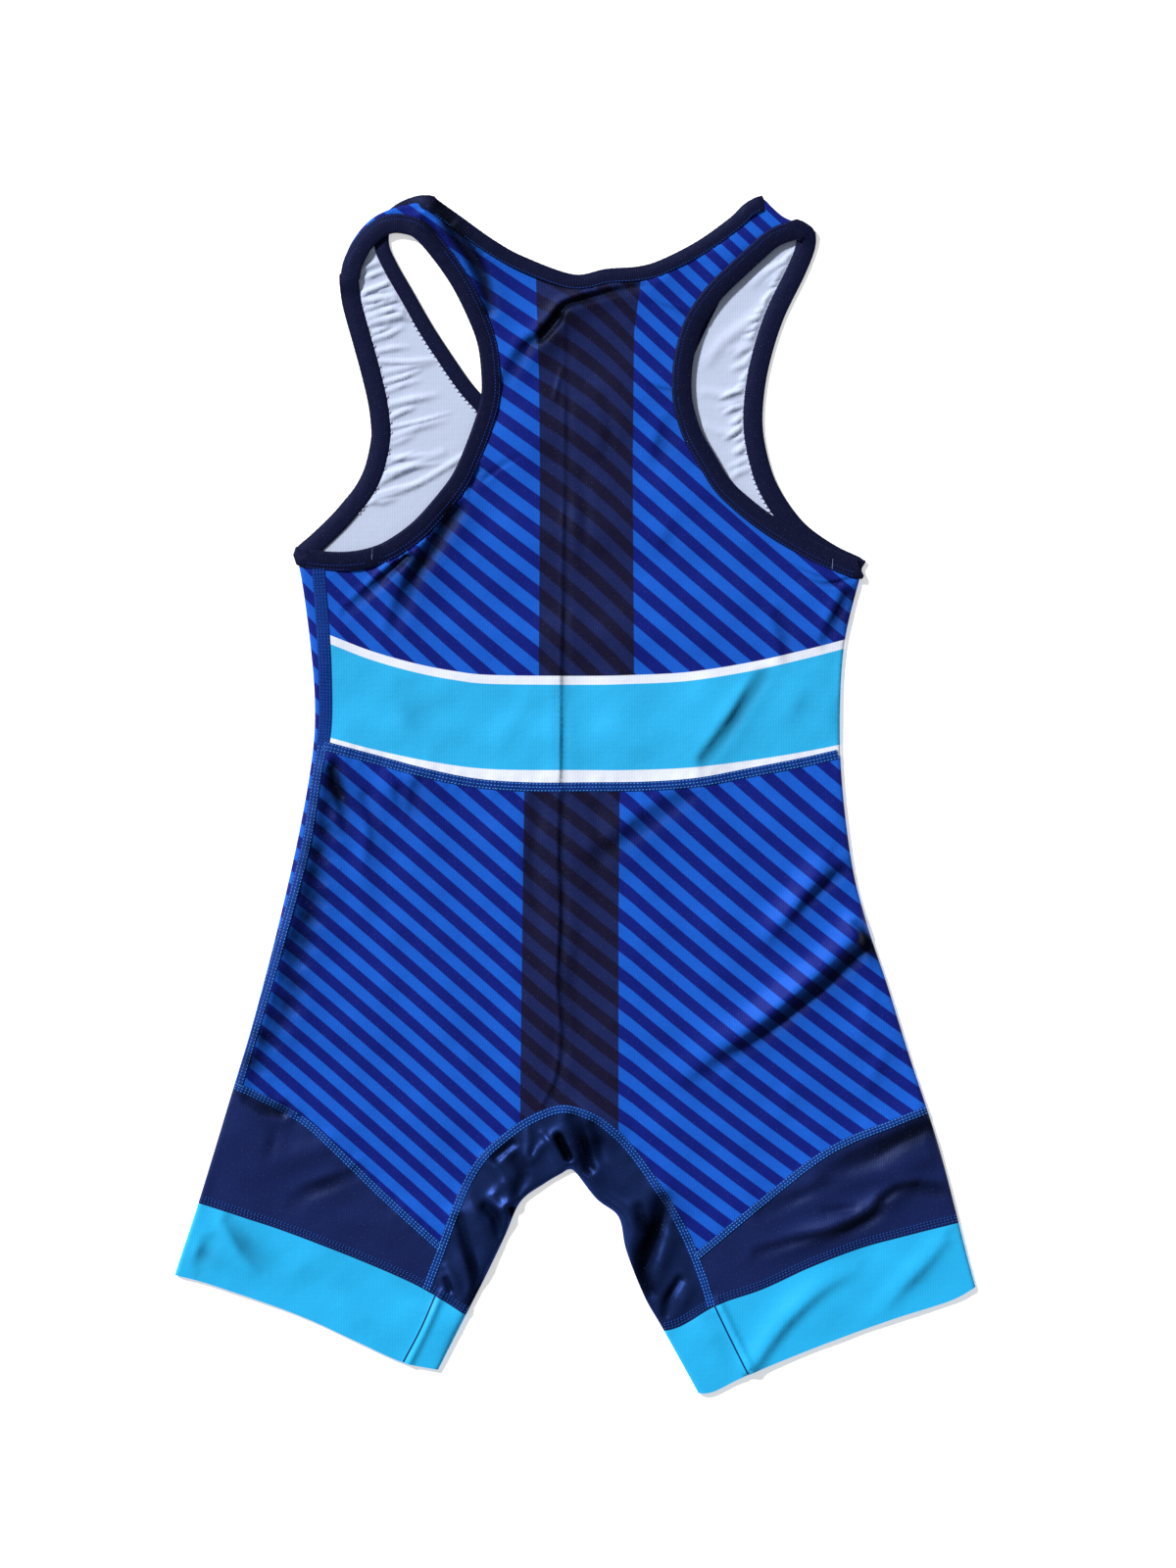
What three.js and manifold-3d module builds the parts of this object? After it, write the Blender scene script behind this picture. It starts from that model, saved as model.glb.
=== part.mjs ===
// A knitted one-piece sports garment with racer-shaped armholes and short legs, laid flat with its
// back up. Sizes are in millimetres. The garment lies on z = 0 with its neck towards +Y. It has two
// layers: the front panels lie below, the back panels lie on them, and the leg panels, gusset and
// cuffs go round both. Every cut-and-sewn piece is a solid of its own.
import * as THREE from 'three';
import Module from 'manifold-3d';

const wasm = await Module();
wasm.setup();

// Cloth and binding sizes
const CLOTH = 1.2;
const LAYER_SPACE = 0.8;
const SEAM_GAP = 0.3;
const ARM_BINDING_WIDTH = 12.4;
const NECK_BINDING_WIDTH = 9.6;
const BINDING_CHAMFER = 0.6;
const SIDE_WRAP = 12;
const SHOULDER_WRAP = 2.5;
const JOINT_HALF_SIZE = 4.5;

// Heights worked out from them
const BACK_UNDERSIDE = CLOTH + LAYER_SPACE;
const BACK_TOP = BACK_UNDERSIDE + CLOTH;
const LAYER_DIVIDE = CLOTH + LAYER_SPACE / 2;
const FRONT_BINDING_TOP = CLOTH + 0.3;
const BACK_BINDING_UNDERSIDE = BACK_UNDERSIDE - 0.1;
const BACK_BINDING_TOP = BACK_TOP + 0.9;
const FAR_BELOW = -5;
const FAR_ABOVE = 30;
const FAR_DOWN = -420;
const FAR_OUT = 420;
const ARMPIT_HEIGHT = 148;

// How finely the cloth and its edges are divided
const CLOTH_CELL = 21;
const BLOCK_REACH = new THREE.Vector2(290, 402);
const EDGE_STEP = 18;
const BINDING_STEP = 14;
const CREASE_EDGE_FADE = [3, 15];

// Rounding of the folded sides: height above the surface and distance in from the outline
const FOLD_ROUNDING = [
  { z: 0, inset: 0.9 },
  { z: 0.3, inset: 0.35 },
  { z: 0.9, inset: 0 },
  { z: BACK_TOP - 0.9, inset: 0 },
  { z: BACK_TOP - 0.3, inset: 0.35 },
  { z: BACK_TOP, inset: 0.9 },
];
const CREASE_INSET = 3;

// Outline of the folded sides, x and y, each from below the hem upwards
const LEFT_SIDE = [
  [-271, -366], [-254, -306], [-239, -260], [-216.5, -186], [-204.5, -146], [-189, -87],
  [-175, -25], [-166.5, 25], [-165, 58], [-168, 96], [-174, 139],
];
const LEFT_BESIDE_ARMHOLE = [[-180, 160], [-180, 215], [-162, 292], [-150, 314]];
const LEFT_SHOULDER = [
  [-147, 325.5], [-144, 344], [-132, 361], [-116, 370], [-89.5, 376], [-66.5, 381],
];
const RIGHT_SIDE = [
  [274.5, -381.5], [252.5, -311], [230.5, -226.5], [210.5, -164.5], [197, -121], [184.5, -83.5],
  [175, -46.5], [168.5, 5], [167, 50], [170, 96], [180, 138],
];
const RIGHT_BESIDE_ARMHOLE = [[186, 152], [156, 184], [136, 215], [134, 262], [150, 318]];
const RIGHT_SHOULDER = [
  [152, 338], [152, 350], [143, 362], [132, 366], [123.5, 371.5], [115, 379.5], [104, 385.5],
];
const INNER_LEFT_LEG = [
  [-6.5, -235.5], [-20, -246.5], [-35, -258], [-45, -280], [-57, -305], [-70.5, -331.5],
  [-87, -364], [-95, -380],
];
const INNER_RIGHT_LEG = [
  [-2, -239], [13, -256], [27, -267.5], [32, -289], [43.5, -318], [55.5, -339], [77, -378],
  [83, -390],
];

// Seams across the garment, x and y from left to right
const WAIST_SEAM = [
  [-190, 38], [-157, 28.5], [-127.5, 20.5], [-96, 12], [-64, 5.5], [-30, 3], [10, 3], [46, 3.5],
  [78, 6], [110, 12], [141, 18], [167, 24], [195, 32],
];
const LEFT_WEDGE_SEAM = [
  [-238, -176], [-217.5, -183.5], [-187, -198], [-164, -213], [-126, -250], [-87.5, -285],
  [-75, -297],
];
const RIGHT_WEDGE_SEAM = [
  [64, -302], [77, -292], [118.5, -257.5], [160.5, -225.5], [202, -207.5], [224, -199],
  [245, -191],
];
const GUSSET_SEAM = [
  [-100, -328], [-94, -312], [-86.5, -292.5], [-77, -266.5], [-69, -247], [-58, -229.5],
  [-43, -216], [-29, -206.5], [-11, -199.5], [2, -201], [14.5, -206.5], [27.5, -217],
  [39, -230.5], [50.5, -247], [61.5, -264], [71, -282.5], [81, -308], [88, -332],
];
const LEFT_CUFF_SEAM = [
  [-258, -252], [-239, -258.5], [-189.5, -274.5], [-138.5, -294], [-101, -310.5], [-70, -329],
  [-56, -338],
];
const LEFT_HEM = [
  [-272, -299.5], [-254, -304], [-229.5, -310.5], [-176.5, -329], [-138.5, -346], [-110, -359],
  [-87, -364], [-70, -367],
];
const RIGHT_CUFF_SEAM = [
  [42, -341], [64, -337.5], [88.5, -323.5], [118.5, -313], [146.5, -300], [174.5, -289],
  [202, -281], [242, -271], [262, -266],
];
const RIGHT_HEM = [
  [62, -379.5], [77, -379], [88, -377.5], [109.5, -367], [160.5, -346.5], [202, -331.5],
  [236.5, -320.5], [254, -311], [272, -301],
];

// Side seam that has turned on to the upper layer, from the armpit down
const LEFT_SIDE_SEAM = [
  [-163, 148], [-160.5, 115.5], [-158.5, 80], [-158.5, 42], [-163.5, 10.5], [-170.5, -34],
  [-184.5, -87], [-198.5, -134.5], [-213, -183], [-224, -215],
];

// Centre lines of the bindings, x and y. Back halves lie on the upper layer, front halves below.
const LEFT_ARM_BACK = [
  [-173.5, 149], [-158, 147], [-142, 147], [-127, 150], [-114, 156], [-99, 167], [-86, 181],
  [-74, 196.5], [-66.5, 211.5], [-58.5, 232.5], [-54, 249], [-53.5, 264], [-56, 285],
  [-63, 304], [-74, 325.5], [-88, 345], [-99, 356.5], [-109, 360], [-117.5, 360], [-125, 356.5],
  [-134, 348], [-140.5, 336], [-142.5, 327],
];
const LEFT_ARM_FRONT = [
  [-143.5, 326], [-141.5, 310], [-135.5, 288], [-130, 268], [-125.5, 249], [-123.5, 234],
  [-123.5, 223], [-127.5, 205], [-134, 191.5], [-143, 180], [-151, 171], [-163, 159.5],
  [-173, 151],
];
const RIGHT_ARM_BACK = [
  [140, 357], [125.5, 351.5], [114, 342], [101.5, 330.5], [91, 320.5], [81.5, 309], [74.5, 297],
  [70.5, 285], [67.5, 270], [67, 254], [69, 241], [74, 226], [82, 212], [92.5, 195],
  [105, 183], [120.5, 171], [138, 160], [153.5, 151.5], [167.5, 145.5], [180.5, 141],
];
const RIGHT_ARM_FRONT = [
  [144, 352], [143.5, 345], [138.5, 330], [125.5, 302], [116.5, 273], [112.5, 248],
  [112.5, 227.5], [117, 206], [123, 191], [132.5, 176], [144, 163.5], [161.5, 151.5],
  [179.5, 143],
];
const NECK_BACK = [
  [-91.5, 372.5], [-77.5, 362.5], [-54.5, 346], [-34.5, 335], [-2, 323.5], [20, 327],
  [40, 328.5], [55.5, 333], [79, 345], [100, 360], [109.5, 369], [118.5, 374],
];
const NECK_FRONT = [
  [-91.5, 372.5], [-101, 370], [-113, 364.5], [-121.5, 356], [-122.5, 346], [-117, 333],
  [-107, 315.5], [-95, 294.5], [-83, 276], [-70.5, 258], [-61, 247], [-42, 226], [-20, 205],
  [1.5, 195.5], [23.5, 204.5], [45, 229.5], [60.5, 254], [73, 285], [91.5, 322.5], [110, 356.5],
  [118, 373],
];

// Where a binding goes over a fold, from the upper layer to the lower one
const BINDING_JOINTS = {
  neck_binding: [[-91.5, 372.5], [118, 373]],
  armhole_binding_left: [[-143.3, 327], [-171.5, 150.5]],
  armhole_binding_right: [[141.5, 354.5], [177, 143]],
};

// Largest creases of the upper layer. Each runs from x0, y0 to x1, y1.
const CREASES = [
  { x0: -4, y0: 196, x1: -4, y1: 10, halfWidth: 16, height: 1.7 },
  { x0: -8, y0: 0, x1: -9, y1: -190, halfWidth: 17, height: 1.9 },
  { x0: 172, y0: -96, x1: 70, y1: -184, halfWidth: 19, height: 3.6 },
  { x0: 158, y0: -52, x1: 129, y1: -92, halfWidth: 17, height: 2.2 },
  { x0: -108, y0: 146, x1: -144, y1: 116, halfWidth: 17, height: 3 },
  { x0: -80, y0: 178, x1: -112, y1: 108, halfWidth: 17, height: 2.8 },
  { x0: 138, y0: 132, x1: 170, y1: 131, halfWidth: 16, height: 2.4 },
  { x0: -28, y0: 289, x1: -8, y1: 308, halfWidth: 17, height: 2.8 },
  { x0: -8, y0: 308, x1: 36, y1: 318, halfWidth: 16, height: 2.4 },
  { x0: -96, y0: 364, x1: -60, y1: 320, halfWidth: 15, height: 2.6 },
  { x0: -44, y0: 288, x1: -26, y1: 262, halfWidth: 17, height: 2 },
  { x0: -158, y0: -66, x1: -192, y1: -170, halfWidth: 18, height: 2.6 },
  { x0: -151, y0: 13, x1: -158, y1: -28, halfWidth: 16, height: 1.8 },
  { x0: 119, y0: -292, x1: 202, y1: -252, halfWidth: 18, height: 3 },
  { x0: -177, y0: -255, x1: -148, y1: -242, halfWidth: 17, height: 2.4 },
  { x0: 114, y0: -358, x1: 154, y1: -318, halfWidth: 17, height: 2.6 },
  { x0: 199, y0: -322, x1: 222, y1: -293, halfWidth: 16, height: 2 },
  { x0: -221, y0: -273, x1: -196, y1: -302, halfWidth: 17, height: 2.2 },
  { x0: -40, y0: -225, x1: -62, y1: -292, halfWidth: 16, height: 2.2 },
  { x0: 18, y0: -222, x1: 52, y1: -300, halfWidth: 16, height: 2.2 },
];

// Corners that close each region beyond the garment's outline
const GUSSET_FOOT = [[86, -348], [64, -356], [-70, -350], [-96, -338]];
const LEFT_LEG_FOOT = [[-75, -348], [-100, -338], [-262, -282]];
const RIGHT_LEG_FOOT = [[266, -290], [100, -345], [64, -356]];
const LOWER_HALF_FOOT = [[270, -215], [90, -300], [-90, -300], [-260, -205]];
const PAST_LEFT_SHOULDER = [[-160, 329], [-155, 378], [-100, 393]];
const PAST_RIGHT_SHOULDER = [[124, 393], [150, 378]];
const FRONT_RIGHT_SHOULDER = [[158, 354]];
const BACK_LEFT_SIDE = [[-195, -20], [-195, 149]];
const BACK_RIGHT_SIDE = [[200, 141], [200, -20]];
const FRONT_LEFT_SIDE = [[-195, -20], [-195, 151]];
const FRONT_RIGHT_SIDE = [[200, 143], [200, -20]];

// Where the back panel goes round the shoulder folds
const LEFT_SHOULDER_ZONE = [[-175, 327], [-85, 327], [-85, 400], [-175, 400]];
const RIGHT_SHOULDER_ZONE = [[112, 350], [175, 350], [175, 400], [112, 400]];

// Finishes, from the garment
const STRIPED_KNIT = { color: 0x1d3c9c, roughness: 0.62, metalness: 0 };
const DARK_KNIT = { color: 0x161d4a, roughness: 0.6, metalness: 0 };
const SATIN_KNIT = { color: 0x1b2a5c, roughness: 0.4, metalness: 0 };
const BRIGHT_KNIT = { color: 0x28b2f0, roughness: 0.62, metalness: 0 };
const BINDING_KNIT = { color: 0x131734, roughness: 0.6, metalness: 0 };

// Plane geometry

function smoothLine(table, step) {
  const points = table.map(([x, y]) => new THREE.Vector2(x, y));
  const curve = new THREE.SplineCurve(points);
  const pieces = Math.max(2, Math.round(curve.getLength() / step));
  return curve.getSpacedPoints(pieces);
}

function outline(points) {
  return THREE.ShapeUtils.isClockWise(points) ? [...points].reverse() : [...points];
}

function corners(table) {
  return table.map(([x, y]) => new THREE.Vector2(x, y));
}

function sideDirection(from, to) {
  return new THREE.Vector2(to.y - from.y, from.x - to.x).normalize();
}

function mitre(before, after) {
  const sum = before.clone().add(after);
  return sum.divideScalar(1 + before.dot(after));
}

// Points of a closed outline moved out by a distance, or in when it is negative
function moveOutline(points, distance) {
  const ring = outline(points);
  return ring.map((point, index) => {
    const previous = ring[(index + ring.length - 1) % ring.length];
    const next = ring[(index + 1) % ring.length];
    const shift = mitre(sideDirection(previous, point), sideDirection(point, next));
    return point.clone().addScaledVector(shift, distance);
  });
}

// Points of an open line moved to its right by a distance
function moveLine(points, distance) {
  return points.map((point, index) => {
    const previous = points[Math.max(0, index - 1)];
    const next = points[Math.min(points.length - 1, index + 1)];
    return point.clone().addScaledVector(sideDirection(previous, next), distance);
  });
}

function distanceToSegment(x, y, ax, ay, bx, by) {
  const along = ((x - ax) * (bx - ax) + (y - ay) * (by - ay)) / ((bx - ax) ** 2 + (by - ay) ** 2);
  const place = THREE.MathUtils.clamp(along, 0, 1);
  return Math.hypot(x - ax - place * (bx - ax), y - ay - place * (by - ay));
}

// Solids

function solid(positions, triangles) {
  const mesh = new wasm.Mesh({
    numProp: 3,
    vertProperties: Float32Array.from(positions),
    triVerts: Uint32Array.from(triangles),
  });
  return new wasm.Manifold(mesh);
}

// A closed body through level outlines with the same number of points, lowest first
function stack(levels) {
  const rings = levels.map((level) => outline(level.points));
  const count = rings[0].length;
  const positions = [];
  rings.forEach((ring, index) => {
    ring.forEach((point) => positions.push(point.x, point.y, levels[index].z));
  });
  const triangles = [];
  for (let level = 0; level < rings.length - 1; level += 1) {
    for (let side = 0; side < count; side += 1) {
      const a = level * count + side;
      const b = level * count + ((side + 1) % count);
      triangles.push(a, b, b + count, a, b + count, a + count);
    }
  }
  const top = (rings.length - 1) * count;
  THREE.ShapeUtils.triangulateShape(rings[0], []).forEach(([a, b, c]) => {
    triangles.push(a, c, b);
  });
  THREE.ShapeUtils.triangulateShape(rings[rings.length - 1], []).forEach(([a, b, c]) => {
    triangles.push(top + a, top + b, top + c);
  });
  return solid(positions, triangles);
}

function prism(points, low, high) {
  return stack([{ points, z: low }, { points, z: high }]);
}

// A block over the whole garment whose top follows a height function
function blockUnder(heightAt, low) {
  const columns = Math.ceil((2 * BLOCK_REACH.x) / CLOTH_CELL);
  const rows = Math.ceil((2 * BLOCK_REACH.y) / CLOTH_CELL);
  const place = (column, row) => [
    -BLOCK_REACH.x + (2 * BLOCK_REACH.x * column) / columns,
    -BLOCK_REACH.y + (2 * BLOCK_REACH.y * row) / rows,
  ];
  const positions = [];
  for (const level of [0, 1]) {
    for (let row = 0; row <= rows; row += 1) {
      for (let column = 0; column <= columns; column += 1) {
        const [x, y] = place(column, row);
        positions.push(x, y, level === 0 ? low : heightAt(x, y));
      }
    }
  }
  const layer = (columns + 1) * (rows + 1);
  const at = (column, row) => row * (columns + 1) + column;
  const triangles = [];
  for (let row = 0; row < rows; row += 1) {
    for (let column = 0; column < columns; column += 1) {
      const a = at(column, row);
      const b = at(column + 1, row);
      const c = at(column + 1, row + 1);
      const d = at(column, row + 1);
      triangles.push(a, c, b, a, d, c);
      triangles.push(layer + a, layer + b, layer + c, layer + a, layer + c, layer + d);
    }
  }
  const wall = (a, b) => triangles.push(a, b, layer + b, a, layer + b, layer + a);
  for (let column = 0; column < columns; column += 1) {
    wall(at(column, 0), at(column + 1, 0));
    wall(at(column + 1, rows), at(column, rows));
  }
  for (let row = 0; row < rows; row += 1) {
    wall(at(columns, row), at(columns, row + 1));
    wall(at(0, row + 1), at(0, row));
  }
  return solid(positions, triangles);
}

// A flat strip along a centre line, with its two upper edges rounded off
function strip(line, width, low, high, chamfer, lift) {
  const half = width / 2;
  const section = [
    { side: -half, z: low },
    { side: half, z: low },
    { side: half, z: high - chamfer },
    { side: half - 2 * chamfer, z: high },
    { side: 2 * chamfer - half, z: high },
    { side: -half, z: high - chamfer },
  ];
  const edges = section.map(({ side }) => moveLine(line, side));
  const positions = [];
  line.forEach((point, index) => {
    section.forEach(({ z }, corner) => {
      const place = edges[corner][index];
      positions.push(place.x, place.y, z + lift(point.x, point.y));
    });
  });
  const count = section.length;
  const triangles = [];
  for (let index = 0; index < line.length - 1; index += 1) {
    for (let corner = 0; corner < count; corner += 1) {
      const a = index * count + corner;
      const b = index * count + ((corner + 1) % count);
      triangles.push(a, b + count, b, a, a + count, b + count);
    }
  }
  const last = (line.length - 1) * count;
  for (let corner = 1; corner < count - 1; corner += 1) {
    triangles.push(0, corner, corner + 1);
    triangles.push(last, last + corner + 1, last + corner);
  }
  return solid(positions, triangles);
}

// Points of an open line, made longer at both ends by a distance
function lengthen(points, distance) {
  const away = (end, inner) => end.clone().sub(inner).setLength(distance).add(end);
  const count = points.length;
  return [
    away(points[0], points[1]), ...points, away(points[count - 1], points[count - 2]),
  ];
}

function square([x, y], halfSize) {
  return corners([
    [x - halfSize, y - halfSize], [x + halfSize, y - halfSize],
    [x + halfSize, y + halfSize], [x - halfSize, y + halfSize],
  ]);
}

function largestPart(body) {
  const parts = body.decompose();
  return parts.reduce((best, part) => (part.volume() > best.volume() ? part : best));
}

// The folded shell

const leftSide = smoothLine(LEFT_SIDE, EDGE_STEP);
const rightSide = smoothLine(RIGHT_SIDE, EDGE_STEP);
const garmentOutline = [
  ...leftSide,
  ...corners(LEFT_BESIDE_ARMHOLE),
  ...smoothLine(LEFT_SHOULDER, EDGE_STEP),
  ...smoothLine(RIGHT_SHOULDER, EDGE_STEP).reverse(),
  ...corners(RIGHT_BESIDE_ARMHOLE).reverse(),
  ...[...rightSide].reverse(),
  ...smoothLine(INNER_RIGHT_LEG, EDGE_STEP).reverse(),
  ...smoothLine(INNER_LEFT_LEG, EDGE_STEP),
];

function edgeDistance(x, y) {
  return garmentOutline.reduce((nearest, point, index) => {
    const next = garmentOutline[(index + 1) % garmentOutline.length];
    return Math.min(nearest, distanceToSegment(x, y, point.x, point.y, next.x, next.y));
  }, Infinity);
}

// How far the upper layer stands up in its creases
function creaseHeight(x, y) {
  const [none, full] = CREASE_EDGE_FADE;
  const fade = THREE.MathUtils.smoothstep(edgeDistance(x, y), none, full);
  const height = CREASES.reduce((sum, crease) => {
    const across = distanceToSegment(x, y, crease.x0, crease.y0, crease.x1, crease.y1);
    const nearness = Math.max(0, 1 - (across / crease.halfWidth) ** 2);
    return sum + crease.height * nearness ** 2;
  }, 0);
  return height * fade;
}

const roundedSides = stack(FOLD_ROUNDING.map(({ z, inset }) => ({
  points: moveOutline(garmentOutline, -inset),
  z,
})));
const aboveSides = prism(moveOutline(garmentOutline, -CREASE_INSET), CLOTH, FAR_ABOVE);
const outerForm = roundedSides.add(aboveSides)
  .intersect(blockUnder((x, y) => BACK_TOP + creaseHeight(x, y), FAR_BELOW));
const innerSpace = prism(moveOutline(garmentOutline, -CLOTH), CLOTH, FAR_ABOVE)
  .intersect(blockUnder((x, y) => BACK_UNDERSIDE + creaseHeight(x, y), FAR_BELOW));
const shell = outerForm.subtract(innerSpace);

// Regions, seen from above. Where two meet, the later one is cut back by the seam gap.

const leftCuffRegion = [
  ...smoothLine(LEFT_CUFF_SEAM, EDGE_STEP),
  ...smoothLine(LEFT_HEM, EDGE_STEP).reverse(),
];
const rightCuffRegion = [
  ...smoothLine(RIGHT_CUFF_SEAM, EDGE_STEP),
  ...smoothLine(RIGHT_HEM, EDGE_STEP).reverse(),
];
const gussetRegion = [
  ...smoothLine(GUSSET_SEAM, EDGE_STEP),
  ...corners(GUSSET_FOOT),
];
const leftLegRegion = [
  ...smoothLine(LEFT_WEDGE_SEAM, EDGE_STEP),
  ...corners(LEFT_LEG_FOOT),
];
const rightLegRegion = [
  ...smoothLine(RIGHT_WEDGE_SEAM, EDGE_STEP),
  ...corners(RIGHT_LEG_FOOT),
];
const lowerRegion = [
  ...smoothLine(WAIST_SEAM, EDGE_STEP),
  ...corners(LOWER_HALF_FOOT),
];
const backRegion = [
  ...corners(BACK_LEFT_SIDE),
  ...smoothLine(LEFT_ARM_BACK, BINDING_STEP),
  ...corners(PAST_LEFT_SHOULDER),
  ...smoothLine(NECK_BACK, BINDING_STEP),
  ...corners(PAST_RIGHT_SHOULDER),
  ...smoothLine(RIGHT_ARM_BACK, BINDING_STEP),
  ...corners(BACK_RIGHT_SIDE),
];
const frontRegion = [
  ...corners(FRONT_LEFT_SIDE),
  ...smoothLine(LEFT_ARM_FRONT, BINDING_STEP).reverse(),
  ...corners(PAST_LEFT_SHOULDER),
  ...smoothLine(NECK_FRONT, BINDING_STEP),
  ...corners(PAST_RIGHT_SHOULDER),
  ...corners(FRONT_RIGHT_SHOULDER),
  ...smoothLine(RIGHT_ARM_FRONT, BINDING_STEP),
  ...corners(FRONT_RIGHT_SIDE),
];

function cutBack(body, regions) {
  return regions.reduce((rest, region) => {
    const cutter = prism(moveOutline(region, SEAM_GAP), FAR_BELOW, FAR_ABOVE);
    return rest.subtract(cutter);
  }, body);
}

function pieceOf(region, neighbours) {
  return cutBack(shell.intersect(prism(region, FAR_BELOW, FAR_ABOVE)), neighbours);
}

// The back wraps under at the right side and the front wraps over at the left side

const leftSeam = smoothLine(LEFT_SIDE_SEAM, EDGE_STEP);
const rightSeam = [
  new THREE.Vector2(rightSide[rightSide.length - 1].x - SIDE_WRAP, ARMPIT_HEIGHT),
  ...moveLine([...rightSide].reverse(), SIDE_WRAP).slice(1),
];

// Everything on one side of a seam that runs down the garment, as far out as farX
function besideSeam(line, move, farX) {
  const moved = moveLine(line, move);
  const foot = moved[moved.length - 1];
  const around = corners([[foot.x, FAR_DOWN], [farX, FAR_DOWN], [farX, line[0].y]]);
  return [...moved, ...around];
}

const halfGap = SEAM_GAP / 2;
const aboveArmpits = corners([
  [-FAR_OUT, ARMPIT_HEIGHT], [FAR_OUT, ARMPIT_HEIGHT], [FAR_OUT, FAR_OUT], [-FAR_OUT, FAR_OUT],
]);
const backSpace = prism(besideSeam(leftSeam, -halfGap, FAR_OUT), LAYER_DIVIDE, FAR_ABOVE)
  .add(prism(besideSeam(rightSeam, -halfGap, FAR_OUT), FAR_BELOW, FAR_ABOVE))
  .add(prism(aboveArmpits, LAYER_DIVIDE, FAR_ABOVE));
const frontSpace = prism(besideSeam(rightSeam, halfGap, -FAR_OUT), FAR_BELOW, LAYER_DIVIDE)
  .add(prism(besideSeam(leftSeam, halfGap, -FAR_OUT), FAR_BELOW, FAR_ABOVE))
  .add(prism(aboveArmpits, FAR_BELOW, LAYER_DIVIDE));

// At the shoulders the back panel goes round the fold to the shoulder seam

const shoulderZone = prism(corners(LEFT_SHOULDER_ZONE), FAR_BELOW, FAR_ABOVE)
  .add(prism(corners(RIGHT_SHOULDER_ZONE), FAR_BELOW, FAR_ABOVE));

function shoulderFold(inset) {
  const inside = prism(moveOutline(garmentOutline, -inset), FAR_BELOW, FAR_ABOVE);
  return shoulderZone.subtract(inside);
}

// Bindings

const BINDINGS = [
  { name: 'neck_binding', back: NECK_BACK, front: NECK_FRONT, width: NECK_BINDING_WIDTH },
  {
    name: 'armhole_binding_left',
    back: LEFT_ARM_BACK,
    front: LEFT_ARM_FRONT,
    width: ARM_BINDING_WIDTH,
  },
  {
    name: 'armhole_binding_right',
    back: RIGHT_ARM_BACK,
    front: RIGHT_ARM_FRONT,
    width: ARM_BINDING_WIDTH,
  },
];
const flat = () => 0;

function binding({ name, back, front, width }) {
  const upper = strip(smoothLine(back, BINDING_STEP), width, BACK_BINDING_UNDERSIDE,
    BACK_BINDING_TOP, BINDING_CHAMFER, creaseHeight);
  const lower = strip(smoothLine(front, BINDING_STEP), width, 0, FRONT_BINDING_TOP,
    BINDING_CHAMFER / 2, flat);
  return BINDING_JOINTS[name].reduce(
    (body, place) => body.add(prism(square(place, JOINT_HALF_SIZE), 0, BACK_TOP)),
    upper.add(lower),
  );
}

// Room for the bindings and their seams, taken out of the panels
function bindingRoom({ name, back, front, width }) {
  const wide = width + 2 * SEAM_GAP;
  const upper = strip(lengthen(smoothLine(back, BINDING_STEP), SEAM_GAP), wide,
    BACK_BINDING_UNDERSIDE - SEAM_GAP, FAR_ABOVE, 0, flat);
  const lower = strip(lengthen(smoothLine(front, BINDING_STEP), SEAM_GAP), wide,
    FAR_BELOW, FRONT_BINDING_TOP + SEAM_GAP, 0, flat);
  const jointHalf = JOINT_HALF_SIZE + SEAM_GAP;
  return BINDING_JOINTS[name].reduce(
    (body, place) => body.add(prism(square(place, jointHalf), FAR_BELOW, FAR_ABOVE)),
    upper.add(lower),
  );
}

const allBindingRoom = BINDINGS.map(bindingRoom).reduce((sum, room) => sum.add(room));

// Pieces

const cuffs = [leftCuffRegion, rightCuffRegion];
const legsAndGusset = [leftLegRegion, rightLegRegion, gussetRegion];
const lowerHalf = pieceOf(lowerRegion, legsAndGusset);
const backSpan = prism(backRegion, FAR_BELOW, FAR_ABOVE);
const shoulderTurn = shell.intersect(shoulderFold(SHOULDER_WRAP));
const upperBack = shell.intersect(backSpace).add(shoulderTurn).intersect(backSpan);
const upperFront = shell.intersect(frontSpace)
  .intersect(prism(frontRegion, FAR_BELOW, FAR_ABOVE))
  .subtract(shoulderFold(SHOULDER_WRAP + SEAM_GAP));

const pieces = [
  ['upper_back', cutBack(upperBack, [lowerRegion]).subtract(allBindingRoom), STRIPED_KNIT],
  ['lower_back', lowerHalf.intersect(backSpace), STRIPED_KNIT],
  ['upper_front', cutBack(upperFront, [lowerRegion]).subtract(allBindingRoom), STRIPED_KNIT],
  ['lower_front', lowerHalf.intersect(frontSpace), STRIPED_KNIT],
  ['leg_panel_left', pieceOf(leftLegRegion, [...cuffs, gussetRegion]), DARK_KNIT],
  ['leg_panel_right', pieceOf(rightLegRegion, [...cuffs, gussetRegion]), DARK_KNIT],
  ['gusset', pieceOf(gussetRegion, cuffs), SATIN_KNIT],
  ['cuff_left', pieceOf(leftCuffRegion, []), BRIGHT_KNIT],
  ['cuff_right', pieceOf(rightCuffRegion, []), BRIGHT_KNIT],
  ...BINDINGS.map((row) => [row.name, binding(row), BINDING_KNIT]),
];

function meshOf(name, body, finish) {
  const { vertProperties, triVerts } = largestPart(body).getMesh();
  const geometry = new THREE.BufferGeometry();
  geometry.setAttribute('position', new THREE.BufferAttribute(vertProperties, 3));
  geometry.setIndex(new THREE.BufferAttribute(triVerts, 1));
  geometry.computeVertexNormals();
  const mesh = new THREE.Mesh(geometry, new THREE.MeshStandardMaterial(finish));
  mesh.name = name;
  return mesh;
}

const garment = new THREE.Group();
pieces.forEach(([name, body, finish]) => garment.add(meshOf(name, body, finish)));

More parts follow.
